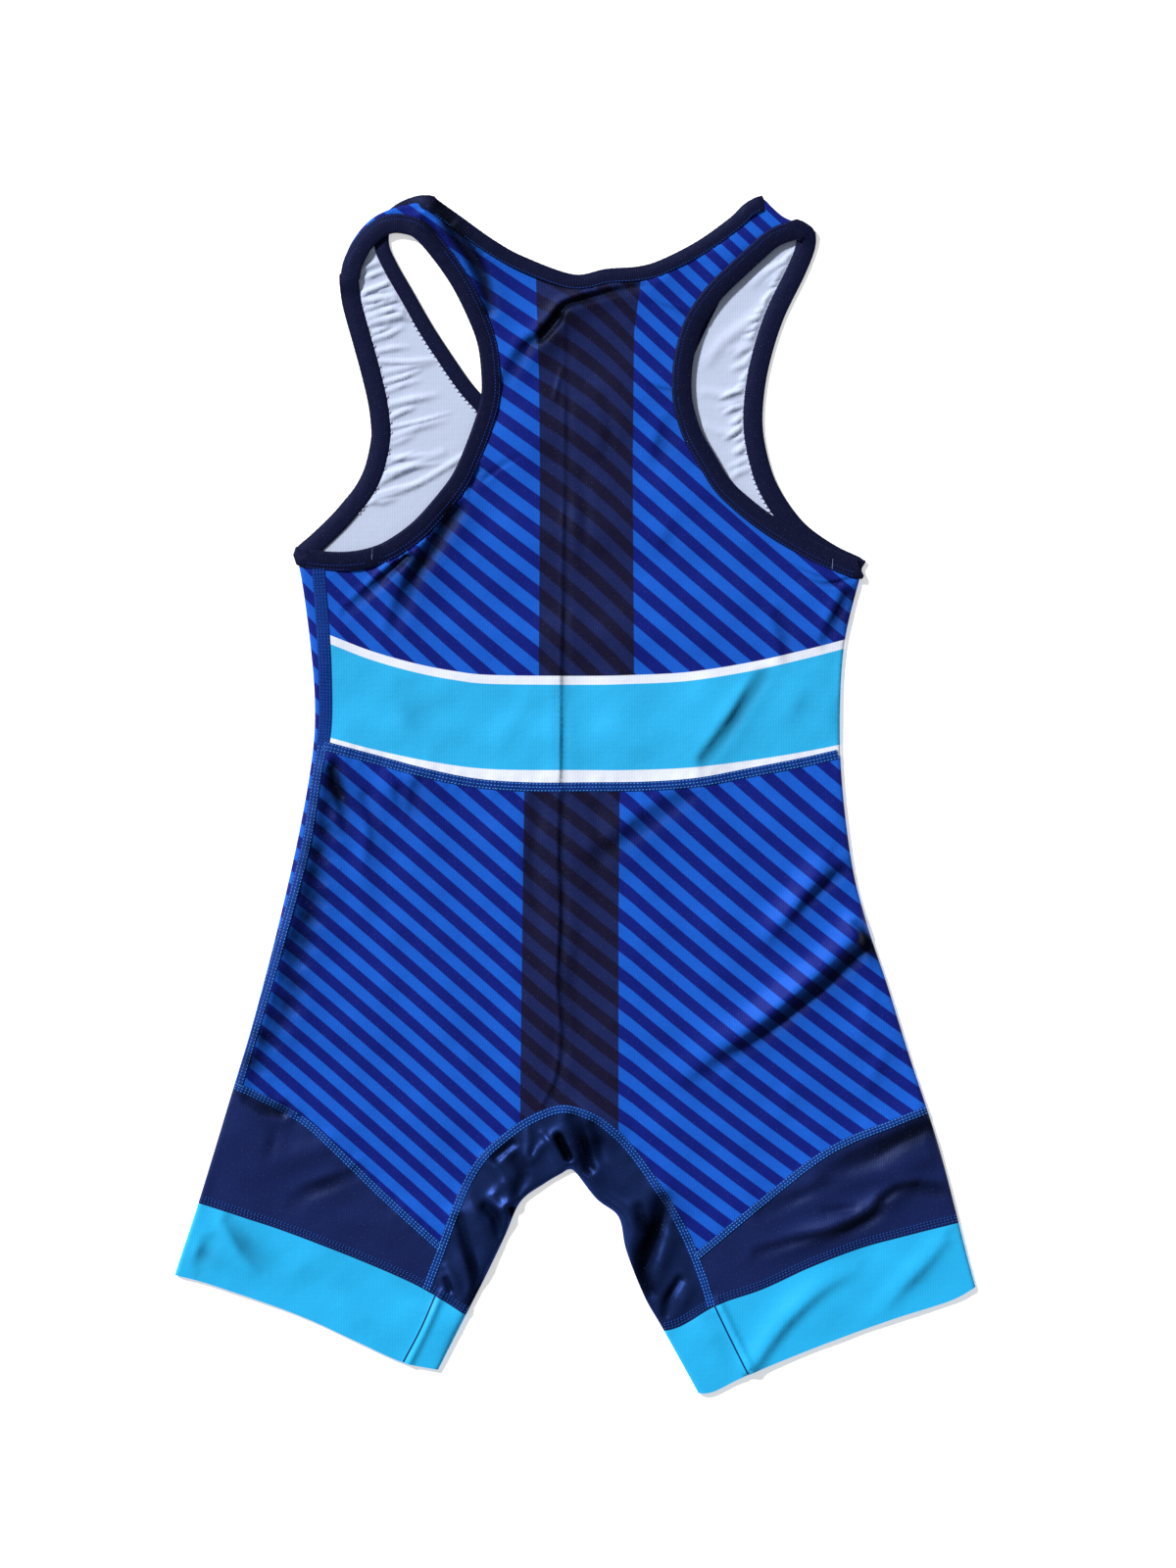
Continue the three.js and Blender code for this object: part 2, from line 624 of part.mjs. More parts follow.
// The origin is under the middle of the garment, on the surface that it lies on
const size = new THREE.Box3().setFromObject(garment);
const middle = size.getCenter(new THREE.Vector3());
garment.position.set(-middle.x, -middle.y, -size.min.z);

export default garment;
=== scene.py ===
"""A knitted one-piece wrestling garment, laid flat with its back up.

The tables give places on the garment in millimetres. The meshes are made in metres, in the
part's own frame: neck towards +Y, underside on z = 0.
"""

import math

import bpy
import numpy as np
from bpy.props import FloatProperty, FloatVectorProperty, PointerProperty
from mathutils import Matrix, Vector, geometry


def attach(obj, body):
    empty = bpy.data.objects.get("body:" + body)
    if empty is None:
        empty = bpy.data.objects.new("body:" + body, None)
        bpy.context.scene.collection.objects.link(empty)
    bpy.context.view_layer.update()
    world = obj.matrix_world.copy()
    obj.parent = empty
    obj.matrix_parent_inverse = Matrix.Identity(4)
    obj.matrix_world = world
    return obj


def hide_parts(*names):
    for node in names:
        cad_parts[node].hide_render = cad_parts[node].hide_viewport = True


bl_info = {
    "name": "Wrestling singlet laid flat",
    "version": (1, 0, 0),
    "blender": (4, 5, 0),
    "location": "View3D > Sidebar > Singlet",
    "description": "Panels, bindings, seams and stage of a knitted one-piece garment",
    "category": "Add Mesh",
}

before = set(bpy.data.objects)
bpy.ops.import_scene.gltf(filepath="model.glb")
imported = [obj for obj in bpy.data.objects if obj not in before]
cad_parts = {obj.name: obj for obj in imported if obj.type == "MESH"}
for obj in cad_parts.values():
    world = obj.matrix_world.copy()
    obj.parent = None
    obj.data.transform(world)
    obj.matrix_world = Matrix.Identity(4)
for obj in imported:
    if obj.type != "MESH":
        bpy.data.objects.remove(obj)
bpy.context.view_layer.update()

MM = 0.001

# The tables' origin, moved to the part's frame
TABLE_SHIFT = np.array([0.3117, 0.465])

# Heights of the two layers, in millimetres
FOLD_HEIGHT = 1.6
BACK_FACE = 3.2
TROUGH_FLOOR = 1.65
FOLD_RADIUS = 2.4
FOLD_MARGIN = 0.6
BACK_BINDING_HEIGHT = 3.15
FRONT_BINDING_HEIGHT = 0.97
BINDING_TOP = 0.92
BINDING_LIFTS = (-0.25, 0.6)
IN_BINDING_LIFT = 0.35
ARM_BINDING_HALF = 6.2
NECK_BINDING_HALF = 4.8

# How a crease is raised or sunk: its own height, and the level of a trough's raised edges
RIDGE_SHARE = 1.2
TROUGH_SHARE = 1.8
TROUGH_EDGE = 0.6
TROUGH_EDGE_REACH = 5.3
# Trough level at which the painted shade in a crease is full
DEEP_TROUGH = 3.0

# How far a trough and a ridge are felt, as shares of their reach
TROUGH_SPREAD = 5.0
RIDGE_SPREAD = 2.6

# Distance from an outer and an inner fold at which creases have their full height, in millimetres
OUTER_FADE = 7.0
INNER_FADE = 3.5

# How the creases' height grows towards its full value there, and how far the painted shade in a trough is
# felt
FADE_CURVE = 0.8
PAINTED_SHADE_SPREAD = 0.55

# Slight lie of the cloth: how many waves, how long they are and how high for their length
WAVES = 16
WAVE_LENGTHS = (18, 70)
WAVE_SLOPE = 0.0036

# Little waves beside a seam: their height, and where they are highest and how far they reach
PUCKER_HEIGHT = 0.22
PUCKER_PLACE = 3.0
PUCKER_REACH = 4.5
PUCKER_LENGTH = 1.7

# Dents beside the left side seam: how many line points apart, half length, reach and depth
DENT_SPACING = 7
DENT_HALF = (5.5, -3.6)
DENT_REACH = 4.5
DENT_DEPTH = -1.7

# Gathers on the front bindings: how far from the binding's middle they start, how much they turn
# and bend, their height and reach, and how many line points apart they are
GATHER_START = 5.5
GATHER_TURN = (-0.22, 0.22)
GATHER_BEND = (-1.6, 1.6)
GATHER_HEIGHT = (0.7, 1.5)
GATHER_REACH = (1.2, 2.1)
GATHER_SPACING = (2.2, 4.0)

# Steps between points along lines, in millimetres
LINE_STEP = 2.0
BINDING_STEP = 1.6
SEAM_STEP = 1.5
CREASE_STEP = 4.0

# Rows of points beside a fold, in millimetres, and along a crease, as shares of its reach
FOLD_ROWS = (0.25, 0.75, 1.5, 2.6)
CREASE_ROWS = (-2.0, -1.3, -0.8, -0.4, 0, 0.4, 0.8, 1.3, 2.0)
CREASE_ROW_STEP = 1.8
CREASE_ROW_ROOM = 0.9
CLOSEST_POINTS = 0.5
EDGE_ROOM = 0.45
FOLD_ROW_ROOM = 0.8
TRIANGLE_RISE = 0.866
GUSSET_CELL = 1.5
INSIDE_CELL = 1.7

# Stitches: length, width and rise, in millimetres
SEAM_STITCH = (1.75, 0.75, 0.5)
SIDE_STITCH = (2.3, 0.75, 0.5)
CUFF_STITCH = (1.8, 0.75, 0.6)
BINDING_STITCH = (1.9, 0.5, 0.3)
SCALLOP = (2.3, 1.9, 1.2)
BAR_TACK = (0.9, 0.5, 0.6)
BINDING_STITCH_PITCH = 2.1
SCALLOP_PITCH = 3.3
BAR_TACK_PITCH = 0.7

# Distance of the binding's rows of stitches from its edge, and the turn of scallops, in radians
BINDING_STITCH_INSETS = (1.0, 3.6)
SCALLOP_TURN = 0.25

# Room for raised cloth: distances from a binding, and the most that the cloth rises there
BACK_ROOM = ((0.3, 3.5), (0.3, 9.0))
FRONT_ROOM = ((0, 5), (0.4, 2.8))
UNDER_BACK_ROOM = ((7, 15), (1.2, 2.8))
BINDING_EDGE = (-1.5, 1.5)

# A closed binding's bulge round the fold: how far out and how high, in millimetres
BINDING_BULGE = ((1.3, 1.25), (1.9, 2.0), (1.3, 2.7))

# Where past the shoulder a binding goes down to the lower layer, and how slowly
DESCENT_PLACE = 7
DESCENT_LENGTH = 2.0

# A strip turns its width towards a new direction by this share, where its path is level enough
TURN_SHARE = 0.65
LEVEL_ENOUGH = 0.35

# Ripple of a binding's edges, half width of its cloth map, and heights of seam stitching
BINDING_RIPPLE = 0.07
BINDING_MAP_HALF = 6.0
COVER_HEIGHT = 0.45
THREAD_HEIGHT = 0.52
CUFF_THREAD_HEIGHT = 0.3
SCALLOP_HEIGHT = 1.15
CUFF_JOIN_WIDTH = 1.0
CUFF_JOIN_HEIGHT = 0.25

# Angles between faces, in degrees, up to which cloth and strips are shaded as one smooth surface
CLOTH_SMOOTH = 55
STRIP_SMOOTH = 60

# Folded sides, x and y, from below the hem upwards
LEFT_SIDE = [
    (-271, -366), (-254, -306), (-239, -260), (-216.5, -186), (-204.5, -146), (-189, -87),
    (-175, -25), (-166.5, 25), (-165, 58), (-168, 96), (-174, 139), (-180, 160),
]
RIGHT_SIDE = [
    (274.5, -381.5), (252.5, -311), (230.5, -226.5), (210.5, -164.5), (197, -121),
    (184.5, -83.5), (175, -46.5), (168.5, 5), (167, 50), (170, 96), (180, 138), (186, 160),
]
LEFT_SHOULDER = [
    (-141, 322), (-147, 325.5), (-144, 344), (-132, 361), (-116, 370), (-89.5, 376),
    (-66.5, 381),
]
RIGHT_SHOULDER = [
    (142, 330), (147.5, 338), (148.5, 350), (141.5, 359.5), (131, 365), (123.5, 371.5),
    (115, 379.5), (104, 385.5),
]
INNER_LEGS = [
    (-95, -380), (-87, -364), (-70.5, -331.5), (-57, -305), (-45, -280), (-35, -258),
    (-20, -246.5), (-9, -240), (-4.5, -237.5), (0, -239.5), (13, -256), (27, -267.5),
    (32, -289), (43.5, -318), (55.5, -339), (77, -378), (83, -390),
]

# Seams, x and y, from left to right
WAIST_SEAM = [
    (-190, 38), (-157, 28.5), (-127.5, 20.5), (-96, 12), (-64, 5.5), (-30, 3), (10, 3),
    (46, 3.5), (78, 6), (110, 12), (141, 18), (167, 24), (195, 32),
]
LEFT_WEDGE_SEAM = [
    (-238, -176), (-217.5, -183.5), (-187, -198), (-164, -213), (-126, -250), (-87.5, -285),
    (-75, -297),
]
RIGHT_WEDGE_SEAM = [
    (64, -302), (77, -292), (118.5, -257.5), (160.5, -225.5), (202, -207.5), (224, -199),
    (245, -191),
]
GUSSET_SEAM = [
    (-100, -328), (-94, -312), (-86.5, -292.5), (-77, -266.5), (-69, -247), (-58, -229.5),
    (-43, -216), (-29, -206.5), (-11, -199.5), (2, -201), (14.5, -206.5), (27.5, -217),
    (39, -230.5), (50.5, -247), (61.5, -264), (71, -282.5), (81, -308), (88, -332),
]
LEFT_CUFF_SEAM = [
    (-258, -252), (-239, -258.5), (-189.5, -274.5), (-138.5, -294), (-101, -310.5),
    (-70, -329), (-56, -338),
]
LEFT_HEM = [
    (-272, -299.5), (-254, -304), (-229.5, -310.5), (-176.5, -329), (-138.5, -346),
    (-110, -359), (-87, -364), (-70, -367),
]
RIGHT_CUFF_SEAM = [
    (42, -341), (64, -337.5), (88.5, -323.5), (118.5, -313), (146.5, -300), (174.5, -289),
    (202, -281), (242, -271), (262, -266),
]
RIGHT_HEM = [
    (62, -379.5), (77, -379), (88, -377.5), (109.5, -367), (160.5, -346.5), (202, -331.5),
    (236.5, -320.5), (254, -311), (272, -301),
]
LEFT_SIDE_SEAM = [
    (-163, 158), (-163, 148), (-160.5, 115.5), (-158.5, 80), (-158.5, 42), (-163.5, 10.5),
    (-170.5, -34), (-184.5, -87), (-198.5, -134.5), (-213, -183), (-224, -215),
]
LEFT_CUFF_JOIN = [(-87.5, -314), (-98, -338), (-109, -359)]
RIGHT_CUFF_JOIN = [(86, -320), (97, -343), (109, -367)]

# Middles of the bar tacks, and half of each one's length along x and y
BAR_TACKS = (((-128.6, 150.8), (0.3, 3.8)), ((162.2, 145.2), (0.2, 2.8)))

# Centre lines of the bindings. Back halves lie on the upper layer, front halves below.
LEFT_ARM_BACK = [
    (-173.5, 149), (-158, 147), (-142, 147), (-127, 150), (-114, 156), (-99, 167),
    (-86, 181), (-74, 196.5), (-66.5, 211.5), (-58.5, 232.5), (-54, 249), (-53.5, 264),
    (-56, 285), (-63, 304), (-74, 325.5), (-88, 345), (-99, 356.5), (-109, 360),
    (-117.5, 360), (-125, 356.5), (-134, 348), (-140.5, 336), (-142.5, 327),
]
LEFT_ARM_FRONT = [
    (-143.5, 326), (-141.5, 310), (-135.5, 288), (-130, 268), (-125.5, 249), (-123.5, 234),
    (-123.5, 223), (-127.5, 205), (-134, 191.5), (-143, 180), (-151, 171), (-163, 159.5),
    (-173, 151),
]
RIGHT_ARM_BACK = [
    (140, 357), (125.5, 351.5), (114, 342), (101.5, 330.5), (91, 320.5), (81.5, 309),
    (74.5, 297), (70.5, 285), (67.5, 270), (67, 254), (69, 241), (74, 226), (82, 212),
    (92.5, 195), (105, 183), (120.5, 171), (138, 160), (153.5, 151.5), (167.5, 145.5),
    (180.5, 141),
]
RIGHT_ARM_FRONT = [
    (146, 353), (145, 345), (139, 330), (125.5, 302), (116.5, 273), (112.5, 248),
    (112.5, 227.5), (117, 206), (123, 191), (132.5, 176), (144, 163.5), (161.5, 151.5),
    (179.5, 143),
]
NECK_BACK = [
    (-91.5, 372.5), (-77.5, 362.5), (-54.5, 346), (-34.5, 335), (-2, 323.5), (20, 327),
    (40, 328.5), (55.5, 333), (79, 345), (100, 360), (109.5, 369), (118.5, 374),
]
NECK_FRONT = [
    (-91.5, 373.5), (-101, 373), (-112, 368), (-121.5, 358), (-122.5, 346), (-117, 333),
    (-107, 315.5), (-95, 294.5), (-83, 276), (-70.5, 258), (-61, 247), (-42, 226),
    (-20, 205), (1.5, 195.5), (23.5, 204.5), (45, 229.5), (60.5, 254), (73, 285),
    (91.5, 322.5), (110, 356.5), (118, 373),
]

# Printed band across the back: top of the upper line and top of the lower line
BAND_TOP = [
    (-190, 113), (-156, 100.5), (-130, 90.5), (-102, 82.5), (-76.5, 77.5), (-52, 75),
    (6.5, 74.5), (34, 75), (71.5, 77), (109.5, 83), (141, 90), (170, 97.5), (195, 105),
]
LOWER_LINE_TOP = [
    (-190, 44), (-155.5, 35.5), (-127.5, 28), (-89.5, 20), (-52, 15.5), (6.5, 15), (34, 15),
    (71.5, 16.5), (109.5, 21), (141, 26), (166.5, 31), (195, 38),
]
BAND_LINE_WIDTH = 5.6

# Noted as the distance inside the band on a panel that has none
NOWHERE = 100.0

# Sides of the dark column, (y, x), on the upper and the lower panel
COLUMN_SIDES = {
    "upper": ([(76, -23), (206, -22.3), (263, -22.9), (326, -24.8)],
              [(76, 37.2), (206, 36.3), (292, 37.2), (326, 41.5)]),
    "lower": ([(-186, -34.7), (-43, -32.9), (0, -32.2)],
              [(-209, 27.3), (-79, 27.3), (0, 28.1)]),
}

# How the printed stripes run: stripes counted along x and y, and how much the count bends
STRIPE_RUNS = {
    "upper_left": (-0.037, -0.0397, -0.0484, 5.5e-5, 2.0e-5, -1.2e-5),
    "upper_right": (-0.8, -0.0352, -0.0436, -1.9e-5, -5.3e-5, -1.8e-5),
    "lower_left": (-0.487, -0.0474, -0.0536, 0, 1.7e-5, 0.5e-5),
    "lower_right": (-0.089, -0.0493, -0.0512, 1.4e-5, -1.1e-5, 1.4e-5),
}
RUNS_MEET = (-22.0, 36.0)

# Creases of the upper layer: line, reach to each side, height, lean, shares at start, middle, end.
# A positive lean is wider on the left of the line's direction.
# Troughs, those with a negative height, also get painted shade
CREASES = [
    # pressed crease down the middle
    ([(-5.5, 300), (-5.5, 235.5), (-6, 192), (-7, 130), (-8, 68), (-8.5, 6)],
     2.6, -0.95, 0.55, (0.3, 1, 1)),
    ([(-8.5, -1), (-9.5, -37), (-8.5, -74.5), (-10, -118), (-8, -152), (-11.5, -180), (-19.5, -197)],
     2.8, -1.25, 0.5, (0.8, 1, 0.7)),
    ([(-12, 120), (-13.5, 68), (-14, 10)], 5, 0.7, -0.1, (0.2, 1, 1)),
    ([(-14.5, -5), (-15, -70), (-16, -150)], 5.5, 0.9, -0.1, (0.9, 1, 0.3)),
    # fold under the neck
    ([(44, 322), (20, 317), (1.5, 312), (-8.4, 308), (-13.5, 299.5), (-22, 289.5)],
     2.8, -3.0, 0.3, (0.2, 1, 1)),
    ([(-13, 300), (-22, 289.5), (-32, 281), (-39.5, 269.5), (-45, 261)], 4.6, -2.8, 0.2, (0.9, 0.8, 0.3)),
    ([(-9, 268), (-11.5, 258), (-13.5, 249)], 1.8, 1.0, 0, (0.6, 1, 0.4)),
    # left strap
    ([(-86, 372), (-75.5, 353), (-66.7, 341.6), (-60.5, 329), (-56.5, 316), (-55, 306)],
     4.2, -4.2, 0.1, (0.9, 1, 0.6)),
    ([(-95, 369), (-88, 360), (-83, 349), (-74, 339), (-66, 327)], 2.4, 1.4, 0, (0.8, 1, 0.3)),
    ([(-96, 362), (-90, 354), (-84, 344)], 2.6, -2.4, 0, (0.6, 1, 0.4)),
    # left armpit
    ([(-107.5, 150), (-125.5, 134), (-146, 115.5)], 3.3, -2.9, 0.4, (1.1, 0.8, 0.2)),
    ([(-77, 179), (-89.5, 158), (-102.5, 137), (-111.5, 115.5), (-117.5, 98)],
     5.4, -3.2, 0.2, (1.1, 0.9, 0.1)),
    ([(-98, 168), (-112, 146), (-120, 128)], 5, 1.0, 0, (0.8, 1, 0.2)),
    ([(-62.5, 204.5), (-68, 189)], 2.8, -1.3, 0.4, (1, 0.8, 0.2)),
    ([(-58, 198), (-48, 206), (-36, 213)], 2.2, -0.6, 0.2, (0.8, 0.8, 0.2)),
    ([(-120, 152), (-133, 143), (-150, 139)], 3, -0.9, 0.3, (0.8, 0.8, 0.2)),
    # right of the column and right armpit
    ([(58.5, 234.5), (50, 206)], 5.5, -1.0, 0.3, (0.5, 1, 0.2)),
    ([(64, 170), (52, 146)], 5, -0.5, 0.3, (0.4, 1, 0.2)),
    ([(128, 112), (132, 98), (133.5, 83.5)], 4.4, -1.3, 0.2, (0.5, 1, 0.4)),
    ([(172, 126), (164, 110), (157, 95)], 4, -2.2, 0.2, (0.9, 1, 0.3)),
    ([(141.5, 137.5), (158, 132.5), (177.5, 137.5)], 1.8, -0.8, -0.3, (0.3, 1, 1)),
    ([(135.5, 145), (150.5, 138), (170, 131)], 1.8, -0.7, -0.3, (0.3, 1, 0.6)),
    ([(45, 312), (62, 306), (76, 300)], 2, -0.6, -0.3, (0.2, 1, 0.6)),
    ([(40, 262), (52, 256), (64, 254)], 2, -0.6, -0.3, (0.2, 1, 0.6)),
    # band and below it
    ([(117, 74), (99, 45.5), (81, 21)], 4.4, -2.0, 0.2, (0.6, 1, 0.6)),
    ([(-108, 62), (-96, 40)], 9, -0.7, 0.3, (0.3, 1, 0.3)),
    ([(-30, 62), (-46, 34), (-52, 14)], 8, 0.6, 0, (0.4, 1, 0.3)),
    ([(150, 68), (140, 40)], 9, -0.5, 0.3, (0.3, 1, 0.3)),
    ([(68, -2.5), (45, -17.5), (27.5, -31), (8, -43)], 6.5, -2.0, 0.2, (0.7, 1, 0.2)),
    ([(-24, -4), (-27.5, -40), (-25, -72)], 4.5, -0.8, 0, (0.6, 1, 0.4)),
    ([(12, -8), (15, -38), (11, -66)], 5, -0.7, 0, (0.6, 1, 0.4)),
    ([(4, -90), (-2, -120), (3, -150)], 5, -0.7, 0, (0.4, 1, 0.5)),
    ([(18, 250), (22, 232), (19, 214)], 4, -0.6, 0, (0.5, 1, 0.5)),
    ([(3, 200), (6, 176), (4, 150)], 4.5, -0.7, 0, (0.5, 1, 0.5)),
    # diagonals of the right hip
    ([(184, -95), (166, -112), (146, -128.5), (119.5, -150.5), (88.5, -172), (74, -183)],
     5.2, -2.6, 0.1, (1, 0.95, 0.15)),
    ([(176, -44), (163, -53), (149, -66), (139, -78), (124, -94)], 4.2, -1.7, 0.1, (0.8, 1, 0.2)),
    ([(190, -52), (196, -66)], 3.2, -1.6, 0, (0.7, 1, 0.5)),
    ([(180, -84), (154, -111.5), (136.5, -126.5), (120.5, -139), (101, -152.5), (84.5, -163), (66, -179)],
     9, 5.2, -0.12, (0.75, 1, 0.12)),
    ([(156, -44), (137.5, -73), (125, -88), (112, -100)], 8.5, 3.4, -0.15, (0.8, 1, 0.1)),
    ([(188, -122), (181, -150)], 5, 0.9, 0, (0.5, 1, 0.3)),
    ([(196, -160), (185, -186)], 5, 1.0, 0, (0.5, 1, 0.4)),
    ([(140, -180), (128, -204)], 6, 0.6, 0, (0.3, 1, 0.3)),
    ([(100, -172), (88, -196)], 5, 0.5, 0, (0.3, 1, 0.3)),
    ([(177, -82), (190, -102)], 2.6, -2.2, -0.2, (0.8, 1, 0.6)),
    # left of the lower panel
    ([(-160, 14), (-163, -10), (-171, -48), (-184, -90), (-197, -134), (-211, -178)],
     5.5, 2.6, 0.1, (0.9, 1, 0.7)),
    ([(-154, 16), (-147.5, -8), (-145, -24)], 4.2, -2.2, 0.2, (1, 0.9, 0.3)),
    ([(-133, -2), (-127.5, -24), (-130, -46)], 4.5, -1.2, 0.2, (0.7, 1, 0.3)),
    ([(-112, 2), (-109, -16)], 4.5, -0.9, 0.2, (0.9, 1, 0.2)),
    ([(-118, 12), (-130, -34), (-136, -80)], 8, 1.7, 0, (0.6, 1, 0.2)),
    ([(-100, 4), (-106, -24)], 6, -1.3, 0.3, (0.8, 0.7, 0.1)),
    ([(-112, -60), (-118, -110), (-122, -150)], 9, 0.6, 0, (0.2, 1, 0.2)),
    ([(-70, -150), (-66, -180), (-52, -214)], 7, 0.7, 0, (0.2, 1, 0.6)),
    # legs
    ([(-208, -194), (-196, -200.5), (-185, -202)], 4, -2.6, 0.3, (0.5, 0.9, 1)),
    ([(-138, -238), (-152, -245), (-168, -250.5), (-178, -257)], 4.6, -1.9, 0.2, (0.4, 1, 0.3)),
    ([(-190, -214), (-193, -228)], 4, -0.8, 0, (0.5, 1, 0.5)),
    ([(-150, -222), (-176, -228), (-196, -240)], 8, 1.8, 0, (0.3, 1, 0.3)),
    ([(-120, -276), (-140, -270), (-152, -268)], 7, 0.6, 0, (0.3, 1, 0.3)),
    ([(226, -208), (202, -220), (181.5, -230), (160, -240)], 6.5, -3.0, 0.1, (1, 0.9, 0.3)),
    ([(232, -250), (209, -249), (196, -255), (187, -266), (163, -277.5), (139, -283), (116, -290)],
     4.4, -2.6, 0.2, (0.7, 1, 0.4)),
    ([(160, -247), (138, -256), (118, -266)], 4.5, -1.2, 0, (0.5, 1, 0.5)),
    ([(176, -262), (158, -264)], 3, -1.0, 0, (0.5, 1, 0.5)),
    ([(209, -249), (197, -257), (181, -266), (160.5, -277), (141, -285), (118.5, -292)],
     6.5, 3.0, -0.25, (0.6, 1, 0.2)),
    ([(222, -230), (196, -240), (170, -244)], 7, 2.2, -0.1, (0.6, 1, 0.2)),
    ([(160, -256), (138, -262)], 6, 0.6, 0, (0.3, 1, 0.3)),
    # cuffs
    ([(-84.5, -315), (-94.5, -338), (-105.5, -360)], 2.4, 1.3, 0, (1, 1, 1)),
    ([(89.5, -319), (100.5, -342), (112, -366)], 2.4, 1.3, 0, (1, 1, 1)),
    ([(-219, -270), (-209, -286.5), (-197, -301)], 5, -1.6, 0.3, (0.5, 1, 0.3)),
    ([(-232, -283), (-238, -298)], 5, -1.3, 0.3, (0.4, 1, 0.4)),
    ([(-182, -290), (-170, -312)], 9, 0.7, 0, (0.4, 1, 0.3)),
    ([(-150, -312), (-140, -330)], 9, 0.5, 0, (0.4, 1, 0.3)),
    ([(176, -300), (154.5, -313), (132, -334), (112, -361)], 6.5, 2.6, -0.3, (0.2, 0.9, 0.9)),
    ([(232, -282), (218.5, -298), (206, -311), (194, -325)], 6.5, 1.9, -0.3, (0.6, 1, 0.2)),
    ([(76, -334), (88, -346), (92, -356)], 5, 0.9, 0, (0.8, 1, 0.2)),
]

# Wrinkles of the shiny gusset, laid out the same way. Their troughs also get painted shade.
GUSSET_WRINKLES = [
    ([(-30, -212), (-29.5, -220.7), (-30.7, -228), (-27, -231), (-23.3, -224.4), (-18, -220)],
     3.0, 1.6, 0, (0.8, 1, 0.7)),
    ([(-55, -231), (-49.3, -238), (-43.5, -245), (-42, -254), (-44.5, -261)],
     4.8, 2.5, -0.2, (0.6, 1, 0.6)),
    ([(-46.8, -246.8), (-52, -254), (-48.5, -261)], 3.2, 1.6, 0, (0.6, 1, 0.6)),
    ([(-67, -254), (-63, -266.6), (-59.2, -276.5), (-56.4, -285), (-58, -296)],
     5.8, 2.6, -0.1, (0.6, 1, 0.6)),
    ([(-82, -299), (-76, -307), (-72.9, -318)], 3.8, 2.0, -0.2, (0.6, 1, 0.6)),
    ([(-21, -214), (-15, -222), (-12, -231)], 2.2, 1.4, 0, (0.6, 1, 0.5)),
    ([(6, -240), (14, -251), (21, -256.7), (28.5, -262), (33.5, -268.5), (35.5, -277.5), (33, -288)],
     5.0, 2.5, -0.2, (0.5, 1, 0.5)),
    ([(17, -238), (30, -246), (42, -257)], 8.1, 2.0, 0, (0.6, 1, 0.5)),
    ([(60, -281), (54, -297), (50, -311)], 5.2, 2.0, 0, (0.5, 1, 0.6)),
    ([(72, -312), (64.6, -328)], 4.0, 1.6, 0, (0.6, 1, 0.6)),
    ([(58, -252), (62, -268)], 3.8, 1.0, 0, (0.6, 1, 0.5)),
    ([(-10.8, -217), (-7.8, -223), (-4.8, -229.5)], 2.5, -4.4, 0, (0.9, 1, 0.9)),
    ([(-1, -205), (3, -216), (6, -226), (8, -236)], 4.2, -3.0, 0, (0.6, 1, 0.9)),
    ([(12, -210), (15, -219), (16, -229)], 4.6, -2.4, 0, (0.7, 1, 0.4)),
    ([(-40, -221), (-46, -226), (-51, -230)], 3.0, -2.0, 0, (0.8, 1, 0.8)),
    ([(-38, -231), (-33, -240), (-37, -252)], 4.4, -2.0, 0, (0.8, 1, 0.7)),
    ([(-41, -262), (-39, -268)], 2.4, -3.6, 0, (0.9, 1, 0.8)),
    ([(-57, -261), (-51, -267), (-48.5, -279)], 3.2, -2.4, 0, (0.8, 1, 0.6)),
    ([(-73.5, -268), (-69, -286), (-65, -299), (-63, -311), (-66, -323)], 3.0, -2.8, 0, (0.5, 1, 0.8)),
    ([(-82, -307), (-79, -314)], 1.8, -2.0, 0, (0.8, 1, 0.8)),
    ([(-37, -272), (-48, -294), (-60, -318)], 2.6, -1.8, 0, (0.7, 1, 0.8)),
    ([(56, -258), (50.5, -276), (45, -289), (41.5, -302), (46, -313)], 5.8, -3.6, 0, (0.7, 1, 0.7)),
    ([(40, -262), (43, -274)], 3.4, -2.2, 0, (0.7, 1, 0.7)),
    ([(65.5, -307), (58.5, -319), (56.5, -329)], 2.8, -2.2, 0, (0.7, 1, 0.7)),
]

# Long folds of the pale inside of the front
INSIDE_FOLDS = [
    ([(-150, 180), (-128, 186), (-100, 196), (-70, 214)], 1.8, 1.0, 0, (0.5, 1, 0.9)),
    ([(-135, 196), (-112, 204), (-84, 216)], 2.4, 0.8, 0, (0.4, 1, 0.6)),
    ([(-133, 316), (-124, 312), (-112, 318)], 2.6, 0.9, 0, (0.7, 1, 0.5)),
    ([(-131, 303), (-122, 297), (-116, 300)], 2.2, 0.8, 0, (0.7, 1, 0.5)),
    ([(128, 316), (112, 300), (94, 286), (84, 274)], 4, 1.2, 0, (0.5, 1, 0.5)),
    ([(124, 304), (110, 286), (98, 280)], 2.8, 0.9, 0, (0.5, 1, 0.5)),
    ([(112, 258), (98, 252), (82, 254)], 3, 1.0, 0, (0.5, 1, 0.5)),
    ([(110, 234), (96, 228), (82, 232)], 3, 0.8, 0, (0.5, 1, 0.5)),
    ([(134, 332), (122, 330), (112, 322)], 2.6, 0.9, 0, (0.6, 1, 0.4)),
]

# A dimpled trough beside the left side seam
SIDE_TROUGH = [
    (-153, 15.5), (-157, -6), (-161, -28), (-165, -43.5), (-168, -72), (-171.5, -86),
    (-177, -106), (-180.5, -129), (-190, -147), (-200.5, -165.5), (-208, -177.5),
]


# Lines


